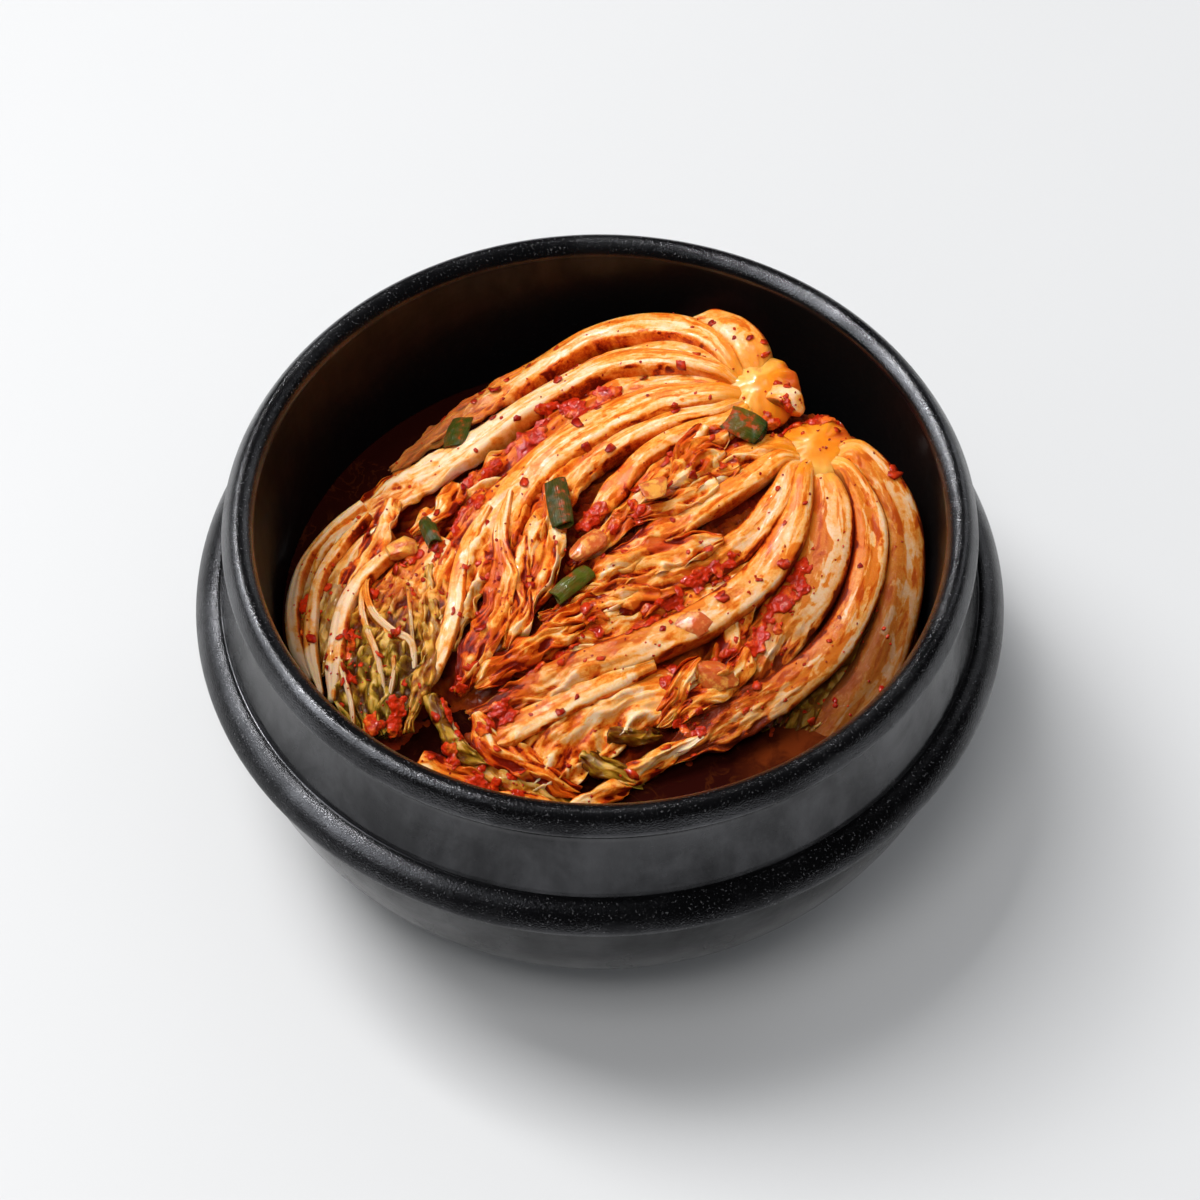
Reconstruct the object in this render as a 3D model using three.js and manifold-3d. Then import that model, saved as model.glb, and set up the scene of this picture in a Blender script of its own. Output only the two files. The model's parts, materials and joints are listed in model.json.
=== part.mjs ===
// Whole-cabbage kimchi: two napa cabbage quarters, cut side up, folded side by side into a
// black earthenware bowl, with chilli brine round them and scallion and radish on top.
// Millimetres, +Z up. The origin is the middle of the bowl's flat foot; -Y is the near side.
import * as THREE from "three";
import { mergeVertices } from "three/addons/utils/BufferGeometryUtils.js";
import Module from "manifold-3d";

const wasm = await Module();
wasm.setup();

// Driving dimensions of the bowl.
const rimHeight = 110;
const rimRadius = 108; // outside of the rolled rim
const rimWidth = 9.4;
const rimRoll = 10; // height of the rolled rim
const mouthRadius = rimRadius - rimWidth;
const collarRadius = 104.9; // slimmest part of the wall, just under the rim
const collarTop = 98.6;
const collarFoot = [109.9, 78.4]; // radius and height where the collar leaves the ledge
const collarMiddle = [106.5, 87]; // what the collar's hollow curve leans towards
const ledgeRadius = 118.5; // the ring that a lifting iron grips
const ledgeTop = 77;
const ledgeRound = 4; // radius of the ledge's upper edge
const bodyRadius = 113; // just under the ledge
const bodyTop = 68;
const footRadius = 62;
const floorHeight = 11;
const innerWall = [[98.4, 101], [97.2, 86], [94, 60], [90.5, 44], [82, 27], [66, 15.5], [44, 11.6]];
const bowlSegments = 40;

// Driving dimensions of the food.
const brineLevel = 60;
const heapPeak = { x: 45, y: 55 };
const heapTop = 103;
const heapSlope = 0.2; // fall along the leaves, per millimetre
const heapCrown = 0.0036; // fall across the leaves, per millimetre squared
const moundDepth = 9; // the solid mass starts this far under the leaf tops
const moundRadius = 88.5; // leaves a ring of brine round the mass
const moundSegments = 36;
const moundFloorGap = 1.5; // brine under the mass
const moundFoot = 46; // radius of the mass at the floor
const moundSide = [[66, 22], [80, 36]]; // radius and height up the side of the mass
const moundShoulder = 50; // height where the side of the mass stands upright
const seamDepth = 9; // how far the mass dips between the two quarters
const seamWidth = 8;
const gap = 0.5; // clearance between neighbouring solids

// Roots: plan place, radius and thickness of the lump where the ribs of a quarter meet.
const leftRoot = { x: 47, y: 54, radius: 14, height: 20 };
const rightRoot = { x: 64, y: 32, radius: 13.5, height: 20 };
const leafDirection = { x: -0.75, y: -0.66 }; // from the roots towards the leaf tips

// Leaves of each quarter. path: plan points from the root to the tip; rib: width of the white
// rib; depth: its thickness; blade: width of the thin leaf; start: where along the leaf the rib
// has become blade; pleat: height of its folds; lift: top of the leaf above the heap.
const leftLeaves = [
  { path: [[47, 60], [44, 70], [35, 79], [24, 82]],
    rib: 9, depth: 12, blade: 7, start: 0.8, pleat: 0, lift: 0 },
  { path: [[41, 60], [33, 73], [18, 81], [0, 82], [-18, 75], [-35, 67], [-50, 58], [-63, 48]],
    rib: 9, depth: 13, blade: 13, start: 0.72, pleat: 1.6, lift: 0 },
  { path: [[40, 60], [26, 70], [8, 73], [-10, 68], [-28, 60]],
    rib: 7, depth: 10, blade: 8, start: 0.6, pleat: 1.2, lift: -2 },
  { path: [[38, 58], [24, 65], [6, 68], [-12, 62], [-30, 53], [-48, 42], [-66, 34], [-80, 20]],
    rib: 8, depth: 12, blade: 19, start: 0.75, pleat: 1.6, lift: 0.5 },
  { path: [[36, 57], [18, 61], [0, 58], [-18, 47], [-36, 33], [-50, 19], [-59, 6]],
    rib: 7, depth: 10, blade: 10, start: 0.35, pleat: 1.8, lift: -3 },
  { path: [[36, 51], [18, 51], [0, 45], [-18, 33], [-32, 16], [-42, -4], [-45, -26]],
    rib: 12, depth: 12, blade: 22, start: 0.7, pleat: 2.4, lift: 1 },
  { path: [[37, 46], [21, 44], [6, 38], [-7, 29], [-17, 15], [-21, 1], [-27, -12]],
    rib: 6.5, depth: 10, blade: 13, start: 0.62, pleat: 2.4, lift: 0 },
  { path: [[39, 42], [26, 39], [12, 31], [1, 18], [-5, 10]],
    rib: 6, depth: 9, blade: 7, start: 0.8, pleat: 0.8, lift: 0 },
  { path: [[41, 40], [29, 34], [17, 25], [6, 11], [-9, -1]],
    rib: 5, depth: 8, blade: 8, start: 0.5, pleat: 1.6, lift: -1 },
  { path: [[-46, 12], [-56, -6], [-63, -28], [-64, -52]],
    rib: 14, depth: 7, blade: 27, start: 0.25, pleat: 1.6, lift: 0 },
  { path: [[-62, 22], [-73, 12], [-79, -6], [-82, -30]],
    rib: 7, depth: 8, blade: 12, start: 0.5, pleat: 1.2, lift: 0 },
  { path: [[-72, 26], [-82, 18], [-87, 0], [-85, -24]],
    rib: 7, depth: 8, blade: 9, start: 0.6, pleat: 1, lift: 0 },
];
const rightLeaves = [
  { path: [[53, 33], [41, 30], [29, 24], [15, 19]],
    rib: 6, depth: 9, blade: 13, start: 0.3, pleat: 2, lift: 0 },
  { path: [[53, 29], [44, 23], [32, 15], [17, 6], [3, 1]],
    rib: 6.5, depth: 9, blade: 9, start: 0.7, pleat: 1.2, lift: 0.5 },
  { path: [[56, 27], [51, 16], [39, 2], [20, -7], [0, -13], [-17, -18]],
    rib: 7.5, depth: 10, blade: 14, start: 0.5, pleat: 2.2, lift: 0 },
  { path: [[48, 0], [31, -9], [10, -18], [-10, -25], [-28, -31]],
    rib: 6, depth: 8, blade: 13, start: 0.3, pleat: 2.2, lift: -2 },
  { path: [[60, 26], [57, 12], [48, -4], [32, -17], [11, -27], [-11, -36], [-37, -47]],
    rib: 9.8, depth: 12, blade: 11, start: 0.8, pleat: 1.4, lift: 1.5 },
  { path: [[16, -31], [-3, -39], [-20, -48], [-37, -58]],
    rib: 7.5, depth: 9, blade: 9, start: 0.8, pleat: 1, lift: 0 },
  { path: [[65, 26], [66, 12], [62, -4], [53, -18], [44, -32], [34, -42]],
    rib: 14, depth: 10, blade: 16, start: 0.7, pleat: 2.2, lift: -1 },
  { path: [[29, -34], [8, -41], [-11, -53], [-22, -66]],
    rib: 14, depth: 8, blade: 25, start: 0.35, pleat: 2.6, lift: -2 },
  { path: [[71, 27], [78, 12], [77, -3], [68, -21], [53, -35], [34, -48], [14, -59]],
    rib: 10.5, depth: 12, blade: 14, start: 0.75, pleat: 2, lift: 1 },
  { path: [[75, 32], [85, 17], [86, 0], [80, -20], [67, -40], [48, -58]],
    rib: 14, depth: 14, blade: 15, start: 0.9, pleat: 0.5, lift: 0 },
  { path: [[81, -2], [76, -20], [64, -36], [50, -48]],
    rib: 8, depth: 5, blade: 13, start: 0.1, pleat: 1.6, lift: -5 },
  { path: [[-44, -46], [-38, -58], [-24, -66], [-6, -70]],
    rib: 5, depth: 5, blade: 8, start: 0.3, pleat: 1.2, lift: -3 },
];
const stationSpacing = 13.5; // along a leaf
const leafNeck = 0.5; // a rib is this much narrower where it leaves the root
const leafDroop = 3; // the tips sink this far into the mass
const tipNarrowing = 0.6;
const bladeThickness = 3;
const ruffleHeight = 1.4; // waves along the edges of a blade
const ruffleTurn = 21; // radians of wave from root to tip
const pleatedPoints = 7; // points across the top of a pleated leaf
const plainPoints = 5;
const deepPleat = 1.5; // leaves with deeper pleats than this get the finer section
const hair = 0.01; // how far surfaces that only touch are drawn apart
const detail = 0.4; // relief smaller than this is smoothed away

// The boundary between the two quarters, in plan.
const seam = [[75, 92], [54, 45], [41, 37], [15, 21], [-12, -6], [-38, -32], [-49, -52], [-62, -80]];

// The packed mass in plan: it stops short of the wall behind the roots and at the near right.
const moundOutline = [
  [22, 84], [37, 82], [49, 71], [58, 58], [72, 47], [84, 30], [88, 8], [84, -20], [70, -40], [48, -58],
  [16, -66], [-20, -84], [-62, -62], [-88, -6], [-74, 42], [-30, 72],
];

// Chilli paste pressed between the leaves: where each smear starts and ends, and its lump size.
const pasteSmears = [
  { from: [-2, 56], to: [-30, 38], lump: 4.6 },
  { from: [-40, 27], to: [-58, 12], lump: 4.2 },
  { from: [40, -8], to: [60, -24], lump: 4.2 },
  { from: [-8, -42], to: [-36, -52], lump: 4.2 },
  { from: [-72, -2], to: [-78, -22], lump: 3.6 },
  { from: [-46, -56], to: [-30, -70], lump: 5 },
  { from: [50, 50], to: [66, 42], lump: 4 },
];
const lumpSpacing = 8.5;

// Pieces as large as berries lying on the leaves: plan place, heading in degrees, size, and how
// far each stands above the heap.
const scallions = [
  { at: [-43, 53], heading: 80, size: [12, 8, 3.4], lift: -1 },
  { at: [-12, 16], heading: 98, size: [16, 7.2, 3.6], lift: 1 },
  { at: [-8, -10], heading: 40, size: [13, 6, 3.2], lift: 0 },
  { at: [42, 38], heading: -20, size: [13, 10, 3.8], lift: 1 },
  { at: [-50, 13], heading: 110, size: [10, 5, 3.2], lift: 1 },
];
const radishes = [
  { at: [28, -23], heading: 10, size: [12, 9, 4.5], lift: 0 },
  { at: [33, -36], heading: -35, size: [14, 9, 4.5], lift: -1 },
  { at: [16, 16], heading: 35, size: [9, 8, 6], lift: 2 },
  { at: [-58, 8], heading: 20, size: [9, 8, 5], lift: 1 },
  { at: [-4, 1], heading: 38, size: [13, 7, 5], lift: 0 },
];

const chunkSquareness = 0.7; // 1 is round, less is boxier

const smoothstep = THREE.MathUtils.smoothstep;
const lerp = THREE.MathUtils.lerp;
const radians = THREE.MathUtils.degToRad;

// A repeatable random draw between low and high.
let drawState = 7;
function draw(low, high) {
  drawState = (drawState * 16807) % 2147483647;
  return low + ((high - low) * drawState) / 2147483647;
}

// Height of the heap's smooth top over a plan point.
function heapHeight(x, y) {
  const dx = x - heapPeak.x;
  const dy = y - heapPeak.y;
  const along = dx * leafDirection.x + dy * leafDirection.y;
  const across = dx * leafDirection.y - dy * leafDirection.x;
  return heapTop - heapSlope * along - heapCrown * across * across;
}

const seamPoints = new THREE.SplineCurve(seam.map(([x, y]) => new THREE.Vector2(x, y))).getPoints(40);

// How deep the mass dips near the seam.
function seamDip(x, y) {
  const here = new THREE.Vector2(x, y);
  const distance = Math.min(...seamPoints.map((point) => point.distanceTo(here)));
  return seamDepth * Math.exp(-((distance / seamWidth) ** 2));
}

// A closed geometry as a solid, with its faces turned outwards.
function solidOf(geometry) {
  const bare = new THREE.BufferGeometry().setAttribute("position", geometry.getAttribute("position"));
  if (geometry.index) bare.setIndex(geometry.index);
  const merged = mergeVertices(bare, 1e-4);
  const triVerts = new Uint32Array(merged.index.array);
  const vertProperties = new Float32Array(merged.attributes.position.array);
  const solid = new wasm.Manifold(new wasm.Mesh({ numProp: 3, vertProperties, triVerts }));
  if (solid.volume() > 0) return solid;
  const turned = triVerts.map((_, i) => triVerts[i - (i % 3) + (2 - (i % 3))]);
  return new wasm.Manifold(new wasm.Mesh({ numProp: 3, vertProperties, triVerts: turned }));
}

function geometryOf(solid) {
  const mesh = solid.getMesh();
  const positions = new Float32Array(mesh.numVert * 3);
  for (let i = 0; i < mesh.numVert; i++) {
    positions.set(mesh.vertProperties.subarray(i * mesh.numProp, i * mesh.numProp + 3), i * 3);
  }
  return new THREE.BufferGeometry()
    .setAttribute("position", new THREE.BufferAttribute(positions, 3))
    .setIndex(new THREE.BufferAttribute(mesh.triVerts, 1));
}

function union(solids) {
  return wasm.Manifold.union(solids);
}

// The biggest closed shell of a solid, without the scraps and sealed hollows that a cut leaves.
function largest(solid) {
  return solid.decompose().reduce((best, body) => (body.volume() > best.volume() ? body : best));
}

// One clean body: small relief is smoothed away and surfaces that only touch are parted.
function settled(solid) {
  return largest(solid.simplify(detail)).warp((vertex) => {
    vertex.forEach((value, axis) => (vertex[axis] = value + draw(-hair, hair)));
  });
}

// A profile of [radius, height] points turned about the Z axis.
function turned(profile, segments) {
  const points = profile.map(([radius, height]) => new THREE.Vector2(radius, height));
  return new THREE.LatheGeometry(points, segments).rotateX(Math.PI / 2);
}

function arc(centre, radii, fromDegrees, toDegrees, steps) {
  return Array.from({ length: steps + 1 }, (_, i) => {
    const angle = radians(lerp(fromDegrees, toDegrees, i / steps));
    return [centre[0] + radii[0] * Math.cos(angle), centre[1] + radii[1] * Math.sin(angle)];
  });
}

function curvePoints(curve, steps) {
  return curve.getPoints(steps).map((p) => [p.x, p.y]);
}

// The inside of the bowl from the mouth down to the middle of the floor.
function innerProfile(inset) {
  const points = innerWall.map(([radius, height]) => new THREE.Vector2(radius - inset, height + inset));
  return [...curvePoints(new THREE.SplineCurve(points), 6), [0, floorHeight + inset]];
}

function bowlSolid() {
  const body = new THREE.CubicBezierCurve(
    new THREE.Vector2(footRadius, 0),
    new THREE.Vector2(92, 1.5),
    new THREE.Vector2(bodyRadius, 29),
    new THREE.Vector2(bodyRadius, bodyTop),
  );
  const lipCorner = [ledgeRadius - 1, bodyTop + 1.4];
  const ledgeCentre = [ledgeRadius - ledgeRound, ledgeTop - ledgeRound];
  const ledge = arc(ledgeCentre, [ledgeRound, ledgeRound], -10, 90, 3);
  const shoulder = [bodyRadius - 2, ledgeTop + 0.4];
  const collar = new THREE.QuadraticBezierCurve(
    new THREE.Vector2(...collarFoot),
    new THREE.Vector2(...collarMiddle),
    new THREE.Vector2(collarRadius, collarTop),
  );
  const rimCentre = [rimRadius - rimWidth / 2, rimHeight - rimRoll / 2];
  const rim = arc(rimCentre, [rimWidth / 2, rimRoll / 2], -50, 180, 6);
  const lower = [[0, 0], ...curvePoints(body, 7), lipCorner, ...ledge, shoulder];
  const profile = [...lower, ...curvePoints(collar, 3), ...rim, ...innerProfile(0)];
  return solidOf(turned(profile, bowlSegments));
}

// The room inside the bowl, less a clearance to its wall, up to a level.
function cavitySolid(level) {
  const wall = innerProfile(gap).filter(([, height]) => height < level);
  return solidOf(turned([[0, level], [wall[0][0] + 0.4, level], ...wall], bowlSegments));
}

// A plan outline raised into a block that is higher than the bowl.
function blockOf(points) {
  const outline = new THREE.Shape(points);
  return solidOf(new THREE.ExtrudeGeometry(outline, { depth: 2 * rimHeight, bevelEnabled: false }));
}

// The packed inner mass under the leaf tops; grown makes it larger all round.
function moundSolid(grown) {
  const radius = moundRadius + grown;
  const base = floorHeight + moundFloorGap - grown;
  const [low, high] = moundSide;
  const belly = [[low[0] + grown, low[1] - grown], [high[0] + grown, high[1]]];
  const side = [[0, base], [moundFoot, base], ...belly, [radius - 2, moundShoulder]];
  const top = [1, 0.8, 0.6, 0.4, 0.2, 0].map((share) => [radius * share, heapTop]);
  const geometry = turned([...side, ...top], moundSegments);
  const position = geometry.getAttribute("position");
  for (let i = 0; i < position.count; i++) {
    if (position.getZ(i) < heapTop - 1) continue;
    const x = position.getX(i);
    const y = position.getY(i);
    position.setZ(i, heapHeight(x, y) - moundDepth - seamDip(x, y) + grown);
  }
  const spread = 1 + grown / moundRadius;
  const outline = moundOutline.map(([x, y]) => new THREE.Vector2(x * spread, y * spread));
  const edge = new THREE.SplineCurve([...outline, outline[0]]).getPoints(32);
  return solidOf(geometry).intersect(blockOf(edge));
}

// The closed skin through rings of points that all have the same count.
function loft(rings) {
  const count = rings[0].length;
  const caps = [rings[0], rings.at(-1)].map((ring) =>
    ring.reduce((sum, p) => sum.add(p), new THREE.Vector3()).divideScalar(count),
  );
  const vertices = [...rings.flat(), ...caps].flatMap((p) => [p.x, p.y, p.z]);
  const index = [];
  for (let i = 0; i < count; i++) {
    const next = (i + 1) % count;
    for (let k = 0; k + 1 < rings.length; k++) {
      const here = k * count;
      const there = here + count;
      index.push(here + i, here + next, there + next, here + i, there + next, there + i);
    }
    const last = (rings.length - 1) * count;
    index.push(rings.length * count, next, i, rings.length * count + 1, last + i, last + next);
  }
  return new THREE.BufferGeometry()
    .setAttribute("position", new THREE.Float32BufferAttribute(vertices, 3))
    .setIndex(index);
}

// One leaf: a thick rounded rib that opens into a thin pleated blade.
function leafSolid(leaf, grown) {
  const route = new THREE.CatmullRomCurve3(leaf.path.map(([x, y]) => new THREE.Vector3(x, y, 0)));
  const stations = Math.round(route.getLength() / stationSpacing);
  const points = leaf.pleat > deepPleat ? pleatedPoints : plainPoints;
  const rings = [];
  for (let station = 0; station <= stations; station++) {
    const t = station / stations;
    const opened = smoothstep(t, leaf.start - 0.25, leaf.start + 0.15);
    const tip = 1 - tipNarrowing * smoothstep(t, 0.8, 1);
    const neck = lerp(leafNeck, 1, smoothstep(t, 0, 0.22));
    const halfWidth = (lerp(leaf.rib * neck, leaf.blade, opened) / 2) * tip + grown;
    const halfDepth = (lerp(leaf.depth, bladeThickness, opened) / 2) * Math.sqrt(tip) + grown;
    const heading = route.getTangentAt(t);
    const overrun = { 0: -grown, [stations]: grown }[station] ?? 0;
    const centre = route.getPointAt(t).addScaledVector(heading, overrun);
    const side = new THREE.Vector3(-heading.y, heading.x, 0).normalize();
    const droop = leafDroop * smoothstep(t, 0.75, 1);
    const crest = heapHeight(centre.x, centre.y) + leaf.lift - droop - halfDepth + grown;
    const place = (across, up) =>
      new THREE.Vector3(centre.x, centre.y, crest + up).addScaledVector(side, across * halfWidth);
    const fold = (i) => (i % 2 ? 1 : -1) * leaf.pleat * 0.5 * opened * tip;
    const ruffle = (across) =>
      ruffleHeight * opened * across * across * Math.sin(t * ruffleTurn + across * 2);
    const top = [];
    const bottom = [];
    for (let i = 0; i < points; i++) {
      const across = -Math.cos((i / (points - 1)) * Math.PI);
      const bulge = halfDepth * Math.sqrt(1 - across * across);
      const base = fold(i) + ruffle(across);
      top.push(place(across, base + bulge));
      if (i > 0 && i < points - 1) bottom.unshift(place(across, base - bulge));
    }
    rings.push([...top, ...bottom]);
  }
  return solidOf(loft(rings));
}

// The root end where the ribs of a quarter meet.
function rootSolid(root) {
  const shape = new THREE.SphereGeometry(root.radius, 16, 10).scale(1, 1, root.height / 2 / root.radius);
  shape.translate(root.x, root.y, heapHeight(root.x, root.y) - root.height / 2);
  return solidOf(shape);
}

// Where the lumps of chilli paste lie along a smear, their sizes and their turns.
function lumpPlaces(smear) {
  const from = new THREE.Vector2(...smear.from);
  const to = new THREE.Vector2(...smear.to);
  const count = Math.round(from.distanceTo(to) / lumpSpacing) + 1;
  return Array.from({ length: count }, (_, i) => {
    const at = from.clone().lerp(to, i / (count - 1)).add(new THREE.Vector2(draw(-2, 2), draw(-2, 2)));
    return { at, radius: smear.lump * draw(0.75, 1.15), turn: draw(0, 3) };
  });
}

const lumps = pasteSmears.flatMap(lumpPlaces);

function lumpSolid({ at, radius, turn }, grown) {
  const lump = new THREE.IcosahedronGeometry(radius + grown, 0).rotateZ(turn).scale(1.2, 1, 0.8);
  return solidOf(lump.translate(at.x, at.y, heapHeight(at.x, at.y) - radius * 0.45));
}

// A shape lying along X laid on the heap at a topping's place, tipped to follow the slope.
function laid(shape, topping) {
  const [x, y] = topping.at;
  const step = 2;
  const fallX = (heapHeight(x + step, y) - heapHeight(x - step, y)) / (2 * step);
  const fallY = (heapHeight(x, y + step) - heapHeight(x, y - step)) / (2 * step);
  const normal = new THREE.Vector3(-fallX, -fallY, 1).normalize();
  const upright = new THREE.Vector3(0, 0, 1);
  shape.rotateZ(radians(topping.heading));
  shape.applyQuaternion(new THREE.Quaternion().setFromUnitVectors(upright, normal));
  return shape.translate(x, y, heapHeight(x, y) + topping.lift + topping.size[2] / 2 - 1);
}

// A cut length of scallion leaf: a flattened roll.
function scallionSolid(topping, grown) {
  const [length, width, depth] = topping.size;
  const outline = new THREE.Shape();
  outline.absellipse(0, 0, depth / 2 + grown, width / 2 + grown, 0, Math.PI * 2);
  const roll = new THREE.ExtrudeGeometry(outline, {
    depth: length + 2 * grown,
    curveSegments: 5,
    bevelEnabled: false,
  });
  roll.translate(0, 0, -length / 2 - grown).rotateY(Math.PI / 2);
  return solidOf(laid(roll, topping));
}

// A diced chunk with softened corners.
function chunkSolid(topping, grown) {
  const shape = new THREE.IcosahedronGeometry(1, 1);
  const position = shape.getAttribute("position");
  const squared = (value) => Math.sign(value) * Math.abs(value) ** chunkSquareness;
  for (let i = 0; i < position.count; i++) {
    const [x, y, z] = [position.getX(i), position.getY(i), position.getZ(i)].map(squared);
    position.setXYZ(i, x, y, z);
  }
  const [length, width, depth] = topping.size.map((size) => size / 2 + grown);
  return solidOf(laid(shape.scale(length, width, depth), topping));
}

// Everything in plan on the right of the seam, moved aside by an offset.
function rightRegion(offset) {
  const moved = seamPoints.map((point) => new THREE.Vector2(point.x + offset, point.y - offset));
  return blockOf([...moved, new THREE.Vector2(200, -200), new THREE.Vector2(200, 92)]);
}

function meshOf(name, solid, material) {
  const mesh = new THREE.Mesh(geometryOf(solid), material);
  mesh.name = name;
  return mesh;
}

const finishes = {
  bowl: new THREE.MeshStandardMaterial({ color: 0x1b1b1d, roughness: 0.35, metalness: 0.1 }),
  brine: new THREE.MeshStandardMaterial({ color: 0x4a0d05, roughness: 0.08, metalness: 0 }),
  cabbage: new THREE.MeshStandardMaterial({ color: 0xe09a55, roughness: 0.3, metalness: 0 }),
  scallion: new THREE.MeshStandardMaterial({ color: 0x2f5a2a, roughness: 0.3, metalness: 0 }),
  radish: new THREE.MeshStandardMaterial({ color: 0xe59a5a, roughness: 0.25, metalness: 0 }),
};

const cavity = cavitySolid(rimHeight - 2);
const pockets = union([
  ...scallions.map((piece) => scallionSolid(piece, gap)),
  ...radishes.map((piece) => chunkSolid(piece, gap)),
]);
const paste = union(lumps.map((lump) => lumpSolid(lump, 0)));

function quarterSolid(root, leaves, region) {
  const food = union([moundSolid(0), rootSolid(root), paste, ...leaves.map((leaf) => leafSolid(leaf, 0))]);
  return settled(region(food.intersect(cavity)).subtract(pockets));
}

function brineSolid() {
  const moat = 2 * gap;
  const leaves = [...leftLeaves, ...rightLeaves].map((leaf) => leafSolid(leaf, moat));
  const roots = [leftRoot, rightRoot].map((root) => rootSolid({ ...root, radius: root.radius + moat }));
  const moatLumps = lumps.map((lump) => lumpSolid(lump, moat));
  const food = union([moundSolid(moat), ...roots, ...leaves, ...moatLumps]);
  return settled(cavitySolid(brineLevel).subtract(food));
}

const kimchi = new THREE.Group();
kimchi.add(meshOf("bowl", bowlSolid(), finishes.bowl));
kimchi.add(meshOf("brine", brineSolid(), finishes.brine));
const leftQuarter = quarterSolid(leftRoot, leftLeaves, (food) => food.subtract(rightRegion(-gap)));
const rightQuarter = quarterSolid(rightRoot, rightLeaves, (food) => food.intersect(rightRegion(gap)));
kimchi.add(meshOf("cabbage_left", leftQuarter, finishes.cabbage));
kimchi.add(meshOf("cabbage_right", rightQuarter, finishes.cabbage));
scallions.forEach((piece, i) => {
  kimchi.add(meshOf(`scallion_${i + 1}`, scallionSolid(piece, 0), finishes.scallion));
});
radishes.forEach((piece, i) => {
  kimchi.add(meshOf(`radish_${i + 1}`, chunkSolid(piece, 0), finishes.radish));
});

export default kimchi;
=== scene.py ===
"""Whole-cabbage kimchi in a black earthenware bowl.

Two salted napa cabbage quarters lie folded side by side in chilli brine, with scallion and
radish between the leaves. Plan places and food sizes are in millimetres, and every mesh is in
metres with its place in its vertices.
"""

import json
import math
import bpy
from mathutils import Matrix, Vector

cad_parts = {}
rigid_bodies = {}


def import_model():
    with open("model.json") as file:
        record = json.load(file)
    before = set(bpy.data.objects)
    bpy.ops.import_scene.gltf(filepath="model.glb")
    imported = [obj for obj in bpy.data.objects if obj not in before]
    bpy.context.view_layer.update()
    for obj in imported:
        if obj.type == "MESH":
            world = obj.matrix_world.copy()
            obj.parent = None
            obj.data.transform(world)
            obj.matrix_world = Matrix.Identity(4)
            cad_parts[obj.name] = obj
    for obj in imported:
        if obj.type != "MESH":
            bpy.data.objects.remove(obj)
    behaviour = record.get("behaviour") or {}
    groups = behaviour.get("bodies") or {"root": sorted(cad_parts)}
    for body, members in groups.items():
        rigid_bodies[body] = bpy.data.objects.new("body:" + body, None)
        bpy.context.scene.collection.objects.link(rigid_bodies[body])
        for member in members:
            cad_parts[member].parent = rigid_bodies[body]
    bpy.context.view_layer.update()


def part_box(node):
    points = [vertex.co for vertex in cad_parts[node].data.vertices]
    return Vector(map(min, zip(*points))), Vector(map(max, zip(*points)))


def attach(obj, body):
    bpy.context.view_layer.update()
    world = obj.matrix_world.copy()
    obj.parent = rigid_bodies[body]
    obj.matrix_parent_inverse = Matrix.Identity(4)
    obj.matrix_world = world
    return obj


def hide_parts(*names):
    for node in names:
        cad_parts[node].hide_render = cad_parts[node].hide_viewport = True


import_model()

from types import SimpleNamespace

import bpy
import numpy as np
from bpy.props import FloatProperty, FloatVectorProperty, IntProperty, PointerProperty
from mathutils import Vector
from mathutils.bvhtree import BVHTree

bl_info = {
    "name": "Kimchi bowl",
    "version": (1, 0, 0),
    "blender": (4, 5, 0),
    "location": "View3D > Sidebar > Kimchi",
    "description": "Whole-cabbage kimchi in a black earthenware bowl",
    "category": "Object",
}

MM = 0.001
_, BOWL_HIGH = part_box("bowl")
BRINE_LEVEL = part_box("brine")[1].z / MM
RIM_HEIGHT = BOWL_HIGH.z / MM

HEAP_PEAK = (45.0, 55.0)  # where the heap is highest
HEAP_TOP = 103.0
HEAP_SLOPE = 0.2  # how far it falls for each millimetre along the leaves
HEAP_CROWN = 0.0036  # how strongly it rounds off to both sides
LEAF_DIRECTION = (-0.75, -0.66)
MOUND_DEPTH = 8.0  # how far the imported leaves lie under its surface
LEFT_ROOT = (47.0, 54.0)
RIGHT_ROOT = (64.0, 32.0)

# Seen from above, the heap stops here.
HEAP_OUTLINE = [
    (22, 84), (37, 82), (49, 71), (58, 58), (72, 47), (84, 30), (88, 8), (84, -20), (70, -40), (48, -58),
    (16, -66), (-20, -84), (-62, -62), (-88, -6), (-74, 42), (-30, 72),
]
# The line between the two quarters.
SEAM = [(75, 92), (54, 45), (41, 37), (15, 21), (-12, -6), (-38, -32), (-49, -52), (-62, -80)]


def leaf(path, rib, depth, blade, start, pleat, lift, **look):
    """One leaf: its plan route from root to tip, its rib's width and thickness, its blade's width,
    where the rib has opened into blade, the height of its folds and its top above the heap."""
    return dict(path=path, rib=rib, depth=depth, blade=blade, start=start, pleat=pleat, lift=lift, **look)


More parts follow.
